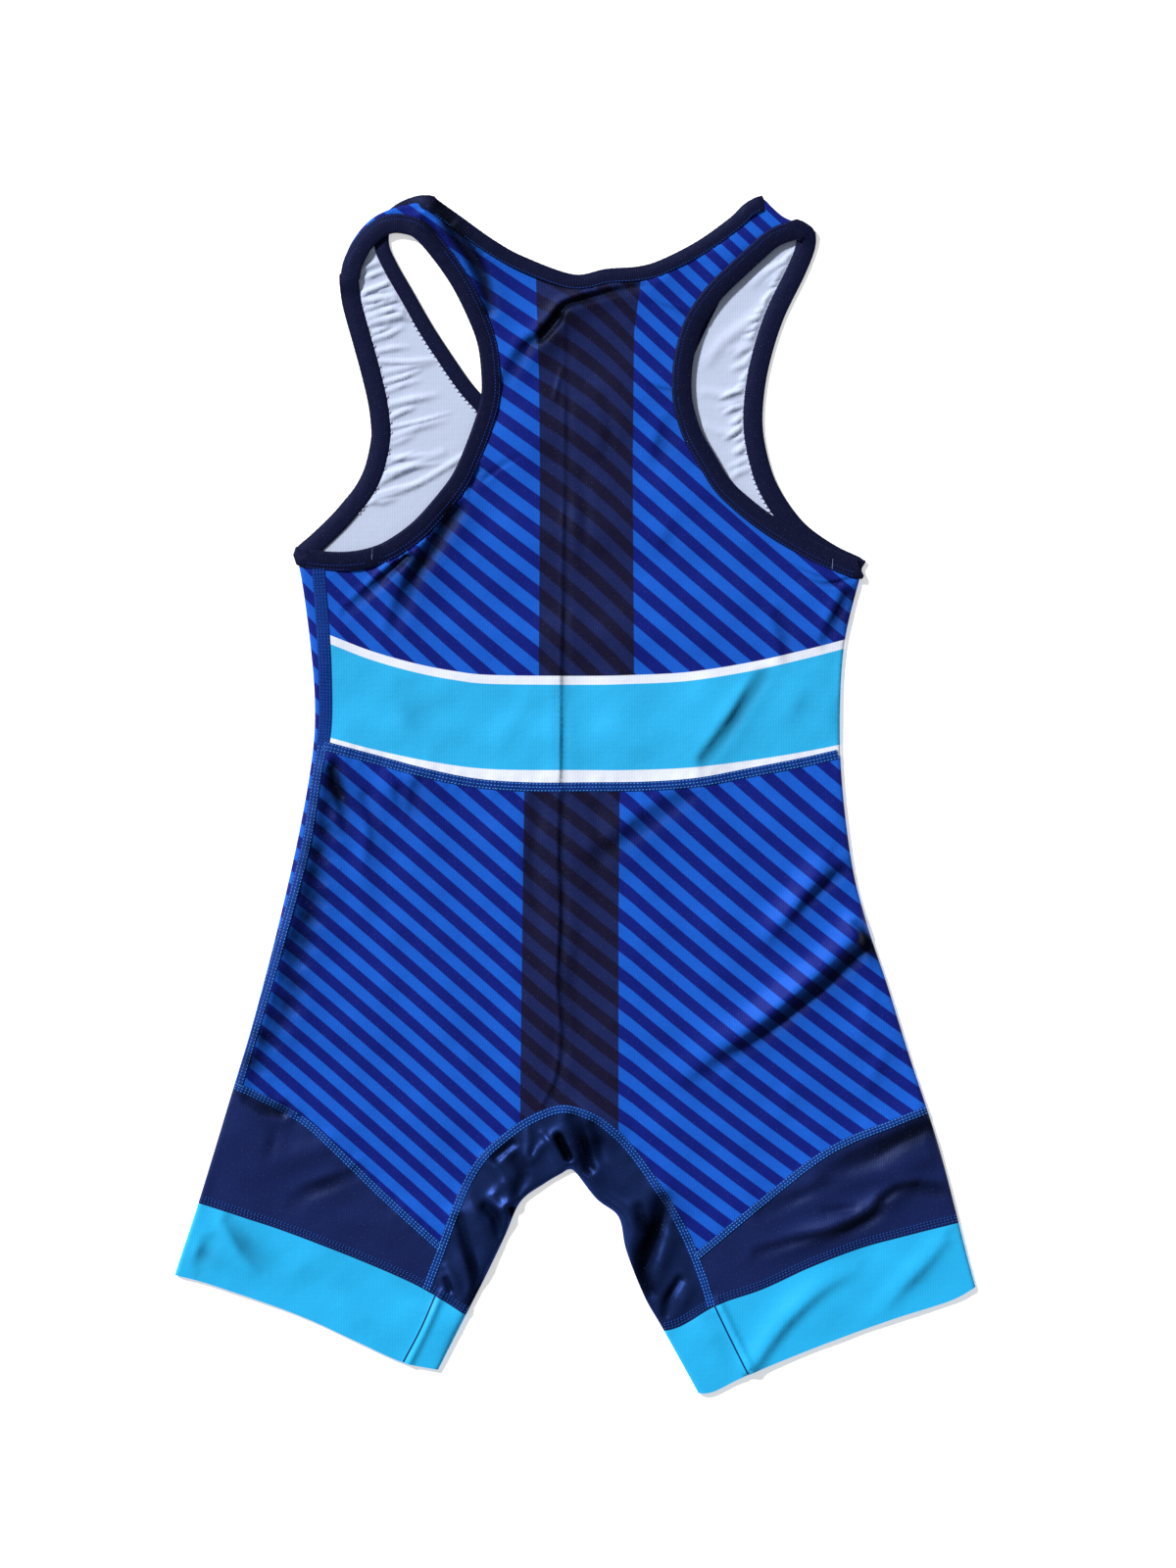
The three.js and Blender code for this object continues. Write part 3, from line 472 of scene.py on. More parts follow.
def curve(table, step=LINE_STEP):
    """Evenly spaced points on a smooth line through a table's places, in the part's frame."""
    p = np.array(table, float) + TABLE_SHIFT
    ends = np.vstack([2 * p[0] - p[1], p, 2 * p[-1] - p[-2]])
    fine = []
    for i in range(len(p) - 1):
        a, b, c, d = ends[i : i + 4]
        t = np.linspace(0, 1, max(2, int(np.linalg.norm(c - b) * 2)), endpoint=False)[:, None]
        fine.append(
            0.5 * (2 * b + (c - a) * t + (2 * a - 5 * b + 4 * c - d) * t**2
                   + (3 * b - a - 3 * c + d) * t**3)
        )
    return even(np.vstack([*fine, p[-1:]]), step)


def lengths(line):
    """Distance along a line at each of its points."""
    return np.concatenate([[0], np.cumsum(np.linalg.norm(np.diff(line, axis=0), axis=1))])


def even(line, step):
    """The same line with evenly spaced points."""
    s = lengths(line)
    t = np.linspace(0, s[-1], max(2, round(s[-1] / step)) + 1)
    return np.stack([np.interp(t, s, line[:, k]) for k in range(line.shape[1])], 1)


def normals(line):
    """Unit directions to the left of a plane line at each point."""
    ahead = np.gradient(line[:, :2], axis=0)
    ahead /= np.maximum(np.linalg.norm(ahead, axis=1), 1e-9)[:, None]
    return np.stack([-ahead[:, 1], ahead[:, 0]], 1)


def beside(line, distance):
    """A line moved to its left."""
    return line + normals(line) * distance


def nearest(xy, line):
    """Signed distance from a line, positive on its left, and the share of its length reached."""
    s = lengths(line)
    side, share = np.zeros(len(xy)), np.zeros(len(xy))
    for start in range(0, len(xy), 4096):
        some = xy[start : start + 4096]
        close = ((some[:, None] - line[None]) ** 2).sum(2).argmin(1)
        best = np.full(len(some), np.inf)
        for first in (np.clip(close - 1, 0, len(line) - 2), np.clip(close, 0, len(line) - 2)):
            run, off = line[first + 1] - line[first], some - line[first]
            t = np.clip((off * run).sum(1) / (run**2).sum(1), 0, 1)
            gap = np.hypot(*(off - t[:, None] * run).T)
            closer = gap < best
            best = np.where(closer, gap, best)
            cross = run[:, 0] * off[:, 1] - run[:, 1] * off[:, 0]
            reached = (s[first] + t * (s[first + 1] - s[first])) / s[-1]
            here = slice(start, start + len(some))
            side[here] = np.where(closer, np.sign(cross) * gap, side[here])
            share[here] = np.where(closer, reached, share[here])
    return side, share


def crossing(one, other):
    """How far along each line, in points, the two first cross."""
    p, r = one[:-1], np.diff(one, axis=0)
    q, s = other[:-1], np.diff(other, axis=0)
    under = r[:, None, 0] * s[None, :, 1] - r[:, None, 1] * s[None, :, 0]
    under = np.where(np.abs(under) < 1e-12, 1e-12, under)
    d = q[None] - p[:, None]
    t = (d[..., 0] * s[None, :, 1] - d[..., 1] * s[None, :, 0]) / under
    u = (d[..., 0] * r[:, None, 1] - d[..., 1] * r[:, None, 0]) / under
    hits = np.argwhere((t >= 0) & (t < 1) & (u >= 0) & (u < 1))
    if not len(hits):
        raise ValueError(f"lines from {one[0]} and {other[0]} do not cross")
    i, j = hits[0]
    return i + t[i, j], j + u[i, j]


def between(line, start, end):
    """The part of a line between two places along it."""
    if start > end:
        return between(line, end, start)[::-1]

    def at(place):
        i = min(int(place), len(line) - 2)
        return line[i] + (place - i) * (line[i + 1] - line[i])

    gap = 0.35
    inner = [
        p for p in line[int(start) + 1 : int(end) + 1]
        if min(np.hypot(*(p - at(start))), np.hypot(*(p - at(end)))) > gap
    ]
    return np.array([at(start), *inner, at(end)])


def stretch(line, start, end):
    """The part of a line between the two lines that cross it."""
    return between(line, crossing(line, start)[0], crossing(line, end)[0])


def enclosed(*lines):
    """The parts of crossing lines that go round a region, one after the other."""
    places = [crossing(lines[i], lines[(i + 1) % len(lines)]) for i in range(len(lines))]
    return [between(lines[i], places[i - 1][1], places[i][0]) for i in range(len(lines))]


def inside(xy, ring):
    """Which points lie in a closed outline."""
    order = np.argsort(xy[:, 1])
    x, y = xy[order].T
    result = np.zeros(len(xy), bool)
    for a, b in zip(ring, np.roll(ring, -1, axis=0)):
        i, j = np.searchsorted(y, sorted((a[1], b[1])))
        if i < j:
            edge = (b[0] - a[0]) * (y[i:j] - a[1]) / (b[1] - a[1]) + a[0]
            result[order[i:j]] ^= x[i:j] < edge
    return result


def clearance(xy, line):
    """Distance from a line."""
    return np.abs(nearest(xy, line)[0])


# Surface of the garment


class Garment:
    """The garment's lines and the height of its cloth."""

    def __init__(self, crease_share):
        self.left, self.right = curve(LEFT_SIDE), curve(RIGHT_SIDE)
        self.under_right = self.right - np.array([12.0, 0])
        self.left_shoulder, self.right_shoulder = curve(LEFT_SHOULDER), curve(RIGHT_SHOULDER)
        self.inner = curve(INNER_LEGS, BINDING_STEP)
        self.waist, self.side_seam = curve(WAIST_SEAM), curve(LEFT_SIDE_SEAM)
        self.left_wedge, self.right_wedge = curve(LEFT_WEDGE_SEAM), curve(RIGHT_WEDGE_SEAM)
        self.gusset = curve(GUSSET_SEAM)
        self.left_cuff, self.right_cuff = curve(LEFT_CUFF_SEAM), curve(RIGHT_CUFF_SEAM)
        self.left_hem, self.right_hem = curve(LEFT_HEM), curve(RIGHT_HEM)
        # Carried on past the folds, so that the lines cross
        self.left_arm_back = curve([(-185, 150.5), *LEFT_ARM_BACK, (-143.6, 321)])
        self.left_arm_front = curve([(-142.6, 332), *LEFT_ARM_FRONT, (-182, 143)])
        self.right_arm_back = curve([(153, 362), *RIGHT_ARM_BACK, (190, 138)])
        self.right_arm_front = curve([(150, 368), *RIGHT_ARM_FRONT, (190, 136)])
        self.neck_back = curve([(-101, 379), *NECK_BACK, (128, 379)])
        self.neck_front = curve([(-80, 384), *NECK_FRONT, (124, 386)])
        self.folds = [self.left, self.right, self.left_shoulder, self.right_shoulder, self.inner]
        self.seams = [self.waist, self.left_wedge, self.right_wedge, self.gusset]
        self.crease_share = crease_share
        self.creases = [self.crease(*c) for c in CREASES]
        self.creases += [self.crease(*c) for c in GUSSET_WRINKLES]
        self.creases += self.side_dimples()
        self.inside_folds = [self.crease(*c) for c in INSIDE_FOLDS] + self.gathers()
        waves = np.random.default_rng(7)
        self.waves = [
            (waves.uniform(0, math.pi), waves.uniform(*WAVE_LENGTHS), waves.uniform(0, 6.3))
            for _ in range(WAVES)
        ]

    @staticmethod
    def crease(table, reach, height, lean, shares):
        """A crease's row of the table, with its line made smooth."""
        return curve(table, CREASE_STEP), reach, height, lean, shares

    def side_dimples(self):
        """Short dents in a row beside the left side seam, which also get painted shade."""
        line = curve(SIDE_TROUGH)
        dents = [(line, 7.0, -1.1, 0.1, (0.7, 1, 0.6))]
        spread = np.random.default_rng(11)
        for place in range(6, len(line) - 3, DENT_SPACING):
            centre = line[place] + spread.uniform(-1.5, 1.5, 2)
            half = np.array(DENT_HALF) * spread.uniform(0.8, 1.15)
            dent = np.array([centre - half, centre, centre + half])
            depth = DENT_DEPTH * spread.uniform(0.75, 1.2)
            dents.append((dent, DENT_REACH, depth, 0.2, (0.5, 1, 0.5)))
        return dents

    def gathers(self):
        """Small wrinkles where the front's inside is gathered on to its bindings."""
        spread = np.random.default_rng(5)
        wrinkles = []
        # Binding, side of it, heading, first and last place along it, shortest and longest
        edges = (
            (LEFT_ARM_FRONT, 1, (0.97, 0.26), (6, 74), (15, 42)),
            (NECK_FRONT, -1, (-0.96, -0.3), (15, 50), (10, 30)),
            (RIGHT_ARM_FRONT, -1, (-0.85, -0.45), (6, 78), (8, 22)),
        )
        for table, side, heading, (first, last), sizes_between in edges:
            edge = beside(curve(table), side * GATHER_START)
            place = float(first)
            while place < min(last, len(edge) - 2):
                start = edge[int(place)]
                turn = spread.uniform(*GATHER_TURN)
                c, s = math.cos(turn), math.sin(turn)
                way = np.array([heading[0] * c - heading[1] * s, heading[0] * s + heading[1] * c])
                size = spread.uniform(*sizes_between)
                bend = np.array([-way[1], way[0]]) * spread.uniform(*GATHER_BEND)
                line = np.array([start, start + way * size * 0.5 + bend, start + way * size])
                height = spread.uniform(*GATHER_HEIGHT)
                wrinkles.append((line, spread.uniform(*GATHER_REACH), height, 0, (0.6, 1, 0.05)))
                place += spread.uniform(*GATHER_SPACING)
        return wrinkles

    @staticmethod
    def reached(xy, creases):
        """For each crease near some of the places: which they are, its level and how far off it is."""
        for line, reach, height, lean, shares in creases:
            far = (TROUGH_SPREAD if height < 0 else RIDGE_SPREAD) * reach * (1 + abs(lean))
            low, high = line.min(0) - far, line.max(0) + far
            near = ((xy > low) & (xy < high)).all(1)
            if near.any():
                side, share = nearest(xy[near], line)
                off = (side / (reach * np.where(side > 0, 1 + lean, 1 - lean))) ** 2
                yield near, height * np.interp(share, [0, 0.5, 1], shares), off

    def relief(self, xy, creases):
        """Summed height of creases."""
        total = np.zeros(len(xy))
        for near, level, off in self.reached(xy, creases):
            edge = TROUGH_EDGE * np.exp(-off / TROUGH_EDGE_REACH)
            dip = level * TROUGH_SHARE * (np.exp(-off) - edge)
            total[near] += np.where(level < 0, dip, level * RIDGE_SHARE * np.exp(-off))
        return total * self.crease_share

    def painted_shade(self, xyz):
        """How deep in the troughs of its layer each place lies, from 0 to 1, which is the share of painted
        shade there.
        """
        depth = np.zeros(len(xyz))
        upper = xyz[:, 2] > FOLD_HEIGHT
        for layer, creases in ((upper, self.creases), (~upper, self.inside_folds)):
            total = np.zeros(layer.sum())
            for near, level, off in self.reached(xyz[layer, :2], [c for c in creases if c[2] < 0]):
                total[near] -= level * np.exp(-PAINTED_SHADE_SPREAD * off)
            depth[layer] = total
        return np.clip(depth * self.crease_share / DEEP_TROUGH, 0, 1)

    def unevenness(self, xy):
        """Slight lie of the cloth between creases."""
        total = np.zeros(len(xy))
        for angle, size, start in self.waves:
            along = xy @ np.array([math.cos(angle), math.sin(angle)])
            total += WAVE_SLOPE * size * np.sin(along * 2 * math.pi / size + start)
        return total * self.crease_share

    def seam_pucker(self, xy):
        """Little waves where the cloth is drawn in by a seam."""
        total = np.zeros(len(xy))
        for number, seam in enumerate(self.seams):
            side, share = nearest(xy, seam)
            run = share * lengths(seam)[-1]
            wave = np.sin(run / (PUCKER_LENGTH + 0.3 * number) + 1.3 * np.sin(run / 9.0))
            total += PUCKER_HEIGHT * wave * np.exp(-((np.abs(side) - PUCKER_PLACE) / PUCKER_REACH) ** 2)
        return total * self.crease_share

    def from_folds(self, xy):
        """Distance from the nearest fold, and how much of a crease is left there."""
        outer = np.full(len(xy), np.inf)
        for fold in self.folds[:-1]:
            outer = np.minimum(outer, clearance(xy, fold))
        inner = clearance(xy, self.inner)
        left_over = np.clip(np.minimum(outer / OUTER_FADE, inner / INNER_FADE), 0, 1) ** FADE_CURVE
        return np.minimum(outer, inner), left_over

    def inward(self, xy):
        """The same places, but none of them beyond the folded sides."""
        xy = xy.copy()
        xy[:, 0] += np.maximum(nearest(xy, self.left)[0] + FOLD_MARGIN, 0)
        xy[:, 0] -= np.maximum(FOLD_MARGIN - nearest(xy, self.right)[0], 0)
        return xy

    @staticmethod
    def rounded(away):
        """How far up the cloth has come at a distance from its fold, from 0 to 1."""
        return np.sqrt(1 - (1 - np.clip(away / FOLD_RADIUS, 0, 1)) ** 2)

    @staticmethod
    def past_bindings(xy, arms, neck):
        """Distance beyond the nearest binding's edge, negative inside it."""
        past = clearance(xy, neck) - NECK_BINDING_HALF
        for arm in arms:
            past = np.minimum(past, clearance(xy, arm) - ARM_BINDING_HALF)
        return past

    def back(self, xy):
        """Height of the upper layer's outer face."""
        away, left_over = self.from_folds(xy)
        rise = self.relief(xy, self.creases) + self.unevenness(xy) + self.seam_pucker(xy)
        past = self.past_bindings(xy, (self.left_arm_back, self.right_arm_back), self.neck_back)
        rise = np.minimum(rise, np.interp(past, *BACK_ROOM))
        flat = FOLD_HEIGHT + (BACK_FACE - FOLD_HEIGHT) * self.rounded(away)
        deepest = np.maximum(flat - TROUGH_FLOOR, 0.05)
        dip = -deepest * (1 - np.exp(np.minimum(rise, 0) / deepest))
        return flat + np.where(rise < 0, dip, rise) * left_over

    def on_binding(self, xy):
        """Height of the outer face of a binding's back half."""
        return BACK_BINDING_HEIGHT + BINDING_TOP + self.binding_lift(xy)

    def binding_lift(self, xy):
        """How far a crease lifts a binding that crosses it."""
        return np.clip(self.relief(xy, self.creases), *BINDING_LIFTS)

    def front(self, xy):
        """Height of the lower layer's outer face, which lies on the ground."""
        away, left_over = self.from_folds(xy)
        round_in = self.rounded(away)
        gathered = np.maximum(self.relief(xy, self.inside_folds), 0)
        under_back = np.minimum(clearance(xy, self.left_arm_back), clearance(xy, self.right_arm_back))
        past = self.past_bindings(xy, (self.left_arm_front, self.right_arm_front), self.neck_front)
        room = np.minimum(np.interp(under_back, *UNDER_BACK_ROOM), np.interp(past, *FRONT_ROOM))
        in_binding = np.interp(past, BINDING_EDGE, (IN_BINDING_LIFT, 0)) * round_in
        return FOLD_HEIGHT * (1 - round_in) + in_binding + np.minimum(gathered, room) * left_over


# Meshes


def lattice(low, high, cell):
    """Points at the corners of even triangles over a rectangle."""
    rows = []
    for number, y in enumerate(np.arange(low[1], high[1], cell * TRIANGLE_RISE)):
        x = np.arange(low[0] + cell * 0.5 * (number % 2), high[0], cell)
        rows.append(np.stack([x, np.full(len(x), y)], 1))
    return np.vstack(rows)


def fill(parts, folds, cell, lines=(), fine_zone=None):
    """Points and triangles over a region, closer together beside folds and along creases."""
    ring = np.vstack([part[:-1] for part in parts])
    low, high = ring.min(0), ring.max(0)
    points = lattice(low, high, cell)
    smallest = cell
    if fine_zone is not None:
        fine = lattice(low, high, INSIDE_CELL)
        points = np.vstack([points[~inside(points, fine_zone)], fine[inside(fine, fine_zone)]])
        smallest = min(cell, INSIDE_CELL)
    closed = np.vstack([ring, ring[:1]])
    points = points[inside(points, ring)]
    points = points[clearance(points, closed) > EDGE_ROOM * smallest]
    rows, room = [points], [np.zeros(len(points))]
    for fold in folds:
        for depth in FOLD_ROWS:
            for sign in (-1, 1):
                rows.append(beside(fold, depth * sign))
                room.append(np.full(len(fold), depth * FOLD_ROW_ROOM))
    for line, reach, *_ in lines:
        line = even(line, CREASE_ROW_STEP)
        for share in CREASE_ROWS:
            rows.append(beside(line, reach * share))
            room.append(np.full(len(line), CREASE_ROW_ROOM))
    rows, room = np.vstack(rows), np.concatenate(room)
    held = inside(rows, ring)
    rows, room = rows[held], room[held]
    every = np.vstack([ring, rows[clearance(rows, closed) > room]])
    _, first = np.unique(np.round(every / CLOSEST_POINTS).astype(int), axis=0, return_index=True)
    first = np.sort(np.union1d(first[first >= len(ring)], np.arange(len(ring))))
    every = every[first]
    count = len(ring)
    edges = [(i, (i + 1) % count) for i in range(count)]
    made = geometry.delaunay_2d_cdt(
        [Vector(p) for p in every], edges, [list(range(count))], 1, 1e-5, False
    )
    flat = np.array([tuple(v) for v in made[0]])
    triangles = np.array([tuple(f) for f in made[2]])
    return flat, triangles[inside(flat[triangles].mean(1), ring)]


def new_object(name, points, faces, materials=()):
    """A mesh object from points in millimetres."""
    mesh = bpy.data.meshes.new(name)
    mesh.from_pydata((np.asarray(points) * MM).tolist(), [], faces)
    mesh.update()
    thing = bpy.data.objects.new(name, mesh)
    bpy.context.scene.collection.objects.link(thing)
    for material in materials:
        mesh.materials.append(material)
    return thing


def select_only(thing):
    """Selects one object and nothing else."""
    bpy.ops.object.select_all(action="DESELECT")
    thing.select_set(True)
    bpy.context.view_layer.objects.active = thing


def areas(xy, triangles):
    """Area of each triangle, negative where its corners run clockwise."""
    a, b, c = (xy[triangles[:, k]] for k in range(3))
    return ((b - a)[:, 0] * (c - a)[:, 1] - (b - a)[:, 1] * (c - a)[:, 0]) / 2


def cloth(name, layers, thickness, materials):
    """A panel made of one or two layers joined at their folds, with the cloth's thickness inwards."""
    points, faces, known = [], [], {}
    for xy, triangles, height, upward in layers:
        index = []
        for (x, y), h in zip(xy, height(xy)):
            key = (round(x, 2), round(y, 2)) if abs(h - FOLD_HEIGHT) < 1e-3 else None
            if key is None or key not in known:
                points.append((x, y, h))
                if key is not None:
                    known[key] = len(points) - 1
                index.append(len(points) - 1)
            else:
                index.append(known[key])
        for (a, b, c), area in zip(triangles, areas(xy, triangles)):
            corners = (index[a], index[b], index[c])
            faces.append(corners if (area > 0) == upward else corners[::-1])
    thing = new_object(name, points, faces, materials)
    select_only(thing)
    shell = thing.modifiers.new("thickness", "SOLIDIFY")
    shell.thickness = thickness
    shell.offset = -1
    shell.use_rim = True
    shell.material_offset = 1
    shell.material_offset_rim = 0
    bpy.ops.object.modifier_apply(modifier=shell.name)
    bpy.ops.object.shade_smooth_by_angle(angle=math.radians(CLOTH_SMOOTH))
    return thing


def positions(thing):
    """A mesh's points, in millimetres."""
    co = np.zeros(len(thing.data.vertices) * 3)
    thing.data.vertices.foreach_get("co", co)
    return co.reshape(-1, 3) / MM


def map_cloth(thing, along=None):
    """A flat cloth map in metres, or one that runs along a line where it is given."""
    xyz = positions(thing)
    flat = xyz[:, :2] * MM if along is None else along
    mesh = thing.data
    corner = np.zeros(len(mesh.loops), int)
    mesh.loops.foreach_get("vertex_index", corner)
    layer = mesh.uv_layers.new(name="cloth")
    layer.data.foreach_set("uv", flat[corner].astype(np.float32).ravel())


def note(thing, name, values):
    """A number for each point of a mesh, for its material to read."""
    layer = thing.data.attributes.new(name, "FLOAT", "POINT")
    layer.data.foreach_set("value", np.asarray(values, np.float32))


def shaded(thing, shape, inner=0):
    """Notes the painted shade at each point, from how deep in a crease it lies. The last points, those of
    an inner face, get none.
    """
    depth = shape.painted_shade(positions(thing))
    depth[len(depth) - inner :] = 0
    note(thing, "painted_shade", depth)


def printed(thing, part, band):
    """Where the printed stripes, dark column and band lie on a panel."""
    xyz = positions(thing)
    x, y = xyz[:, 0], xyz[:, 1]
    count = []
    for side in ("left", "right"):
        a, b, c, d, e, f = STRIPE_RUNS[f"{part}_{side}"]
        count.append(a + b * x + c * y + d * x * x + e * x * y + f * y * y)
    share = np.clip((x - RUNS_MEET[0]) / (RUNS_MEET[1] - RUNS_MEET[0]), 0, 1)
    note(thing, "stripe", count[0] * (1 - share) + count[1] * share)
    left, right = (np.array(sorted(side)) for side in COLUMN_SIDES[part])
    left_x = np.interp(y, left[:, 0], left[:, 1])
    right_x = np.interp(y, right[:, 0], right[:, 1])
    note(thing, "column", np.maximum(left_x - x, x - right_x))
    below_top = above_low = np.full(len(x), -NOWHERE)
    if band:
        top, low = curve(BAND_TOP), curve(LOWER_LINE_TOP)
        below_top = np.interp(x, top[:, 0], top[:, 1]) - y
        above_low = y - np.interp(x, low[:, 0], low[:, 1])
    note(thing, "band_top", below_top)
    note(thing, "band_low", above_low)


def ringed(name, rings, materials, closed, turn=0):
    """A solid through rings of points. If closed, the last ring meets the first, turned by some points."""
    n, m = rings.shape[:2]
    faces = []
    for i in range(n if closed else n - 1):
        j = (i + 1) % n
        shift = turn if i == n - 1 else 0
        for k in range(m):
            after = (k + 1) % m
            faces.append((i * m + k, i * m + after, j * m + (after + shift) % m, j * m + (k + shift) % m))
    if not closed:
        faces.append(tuple(range(m))[::-1])
        faces.append(tuple((n - 1) * m + k for k in range(m)))
    thing = new_object(name, rings.reshape(-1, 3), faces, materials)
    select_only(thing)
    bpy.ops.object.mode_set(mode="EDIT")
    bpy.ops.mesh.select_all(action="SELECT")
    bpy.ops.mesh.normals_make_consistent(inside=False)
    bpy.ops.object.mode_set(mode="OBJECT")
    bpy.ops.object.shade_smooth_by_angle(angle=math.radians(STRIP_SMOOTH))
    return thing


def map_strip(thing, line, section, half):
    """A cloth map in metres that runs along a strip's line."""
    run = np.repeat(lengths(line) * MM, len(section))
    side = np.tile([share * half * MM for share, _ in section], len(line))
    map_cloth(thing, np.stack([run, side], 1))


def sweep(name, path, widths, section, materials):
    """A closed strip along a path in space. The section gives shares of the width and heights."""
    ahead = np.roll(path, -1, axis=0) - np.roll(path, 1, axis=0)
    ahead /= np.maximum(np.linalg.norm(ahead, axis=1), 1e-9)[:, None]
    rings = np.zeros((len(path), len(section), 3))
    across = first = None
    for i, way in enumerate(ahead):
        level = np.hypot(way[0], way[1])
        if level > LEVEL_ENOUGH:
            turned = np.array([-way[1], way[0], 0]) / level
            if across is not None and turned @ across < 0:
                turned = -turned
            across = turned if across is None else across * (1 - TURN_SHARE) + turned * TURN_SHARE
            across /= np.linalg.norm(across)
        first = across if first is None else first
        up = np.cross(way, across)
        for k, (share, height) in enumerate(section):
            half = widths[i][0] if share < 0 else widths[i][1]
            rings[i, k] = path[i] + across * share * half + up * height
    half_turn = len(section) // 2 if across @ first < 0 else 0
    thing = ringed(name, rings, materials, True, half_turn)
    map_strip(thing, path, section, BINDING_MAP_HALF)
    return thing


def round_strip(thickness, steps=4):
    """Section of a soft strip, closed, the same when turned half round."""
    half = thickness / 2
    section = []
    for side in (1, -1):
        for k in range(steps + 1):
            angle = math.pi / 2 * (1 - 2 * k / steps)
            section.append((side * (0.93 + 0.07 * math.cos(angle)), side * half * math.sin(angle)))
        section.append((side * -0.3, -side * half * 1.12))
        section.append((side * -0.62, -side * half * 1.1))
    return section


def tape_section(thickness):
    """Section of a seam's stitched strip, with a rounded top."""
    return [
        (-1, -0.35), (-1, thickness * 0.35), (-0.8, thickness * 0.85), (-0.35, thickness),
        (0.35, thickness), (0.8, thickness * 0.85), (1, thickness * 0.35), (1, -0.35),
    ]


def tape(name, line, width, thickness, shape, materials):
    """A strip of cover stitching lying on the upper layer."""
    half = width / 2
    left, right = beside(line, half), beside(line, -half)
    section = tape_section(thickness)
    rings = np.zeros((len(line), len(section), 3))
    for k, (share, height) in enumerate(section):
        edge = left if share >= 0 else right
        xy = shape.inward(line + (edge - line) * abs(share))
        rings[:, k, :2] = xy
        rings[:, k, 2] = shape.back(xy) + height
    thing = ringed(name, rings, materials, False)
    map_strip(thing, line, section, half)
    return thing


def stitches(name, rows, pitch, size, height_at, materials):
    """Rows of separate thread stitches. Each row is a line and the turn of its stitches."""
    length, width, rise = size
    shape = np.array([
        (0.5, 0, -0.25), (0.22, 0.5, -0.2), (-0.22, 0.5, -0.2), (-0.5, 0, -0.25),
        (-0.22, -0.5, -0.2), (0.22, -0.5, -0.2), (0.2, 0, 0.5), (-0.2, 0, 0.5),
    ]) * np.array([length, width, rise])
    pattern = [
        (0, 1, 6), (1, 2, 7, 6), (2, 3, 7), (3, 4, 7), (4, 5, 6, 7), (5, 0, 6), (5, 4, 3, 2, 1, 0),
    ]
    points, faces = [], []
    for line, turn in rows:
        places = even(line, pitch)
        ahead = np.gradient(places, axis=0)
        angle = np.arctan2(ahead[:, 1], ahead[:, 0]) + turn
        z = height_at(places)
        for (x, y), h, a in zip(places, z, angle):
            c, s = math.cos(a), math.sin(a)
            base = len(points)
            for u, v, w in shape:
                points.append((x + u * c - v * s, y + u * s + v * c, h + w))
            faces.extend(tuple(base + i for i in face) for face in pattern)
    thing = new_object(name, points, faces, materials)
    select_only(thing)
    bpy.ops.object.shade_smooth()
    map_cloth(thing)
    return thing


# Materials

PRINT_BLUR = 0.2
STRIPE_BLUR = 0.16
FAINT_BLUR = 0.35
# How much the painted shade darkens the colour at the bottom of a trough
PAINTED_CREASE_SHADE = 0.95
FIBRE_COLOUR = (0.62, 0.66, 0.8, 1)
BLUE_SHINE = (0.3, 0.42, 1.0, 1)
PALE_SHINE = (0.8, 0.86, 1.0, 1)
KNIT_DEPTH = 0.0003
THREAD_RIBS = 2500.0


class Nodes:
    """Adds nodes to a tree and joins them."""

    def __init__(self, tree):
        self.tree = tree

    def add(self, kind, inputs=None, **settings):
        node = self.tree.nodes.new(kind)
        for key, value in settings.items():
            setattr(node, key, value)
        return self.feed(node, inputs or {})

    def feed(self, node, inputs):
        """Joins other nodes to a node's inputs, or sets them to values."""
        for key, value in inputs.items():
            if isinstance(value, bpy.types.NodeSocket):
                self.tree.links.new(value, node.inputs[key])
            else:
                node.inputs[key].default_value = value
        return node

    def sum(self, how, a, b=0.0, third=None):
        """Works out one value from two numbers, or from three for a multiply-add."""
        inputs = {0: a, 1: b}
        if third is not None:
            inputs[2] = third
        return self.add("ShaderNodeMath", inputs, operation=how).outputs[0]

    def step(self, value, low, high):
        """Goes softly from 0 to 1 as a value goes from low to high."""
        node = self.add(
            "ShaderNodeMapRange", {"Value": value, "From Min": low, "From Max": high},
            interpolation_type="SMOOTHSTEP",
        )
        return node.outputs["Result"]

    def mix(self, share, one, other, how="MIX"):
        """Two colours mixed."""
        node = self.add("ShaderNodeMix", data_type="RGBA", blend_type=how)
        return self.feed(node, {0: share, 6: one, 7: other}).outputs[2]

    def dim(self, color, level):
        """A colour multiplied by a number."""
        grey = self.add("ShaderNodeCombineColor", {0: level, 1: level, 2: level})
        return self.mix(1.0, color, grey.outputs[0], "MULTIPLY")


def new_group(name, inputs, outputs):
    """A node group with named inputs and outputs, empty but for its two ends."""
    tree = bpy.data.node_groups.new(name, "ShaderNodeTree")
    for title, kind, value in inputs:
        socket = tree.interface.new_socket(title, in_out="INPUT", socket_type=kind)
        if value is not None:
            socket.default_value = value
    for title, kind in outputs:
        tree.interface.new_socket(title, in_out="OUTPUT", socket_type=kind)
    nodes = Nodes(tree)
    return tree, nodes, nodes.add("NodeGroupInput").outputs, nodes.add("NodeGroupOutput").inputs


def rgba(colour):
    """A colour as a shader's socket takes it."""
    return (*colour, 1.0)


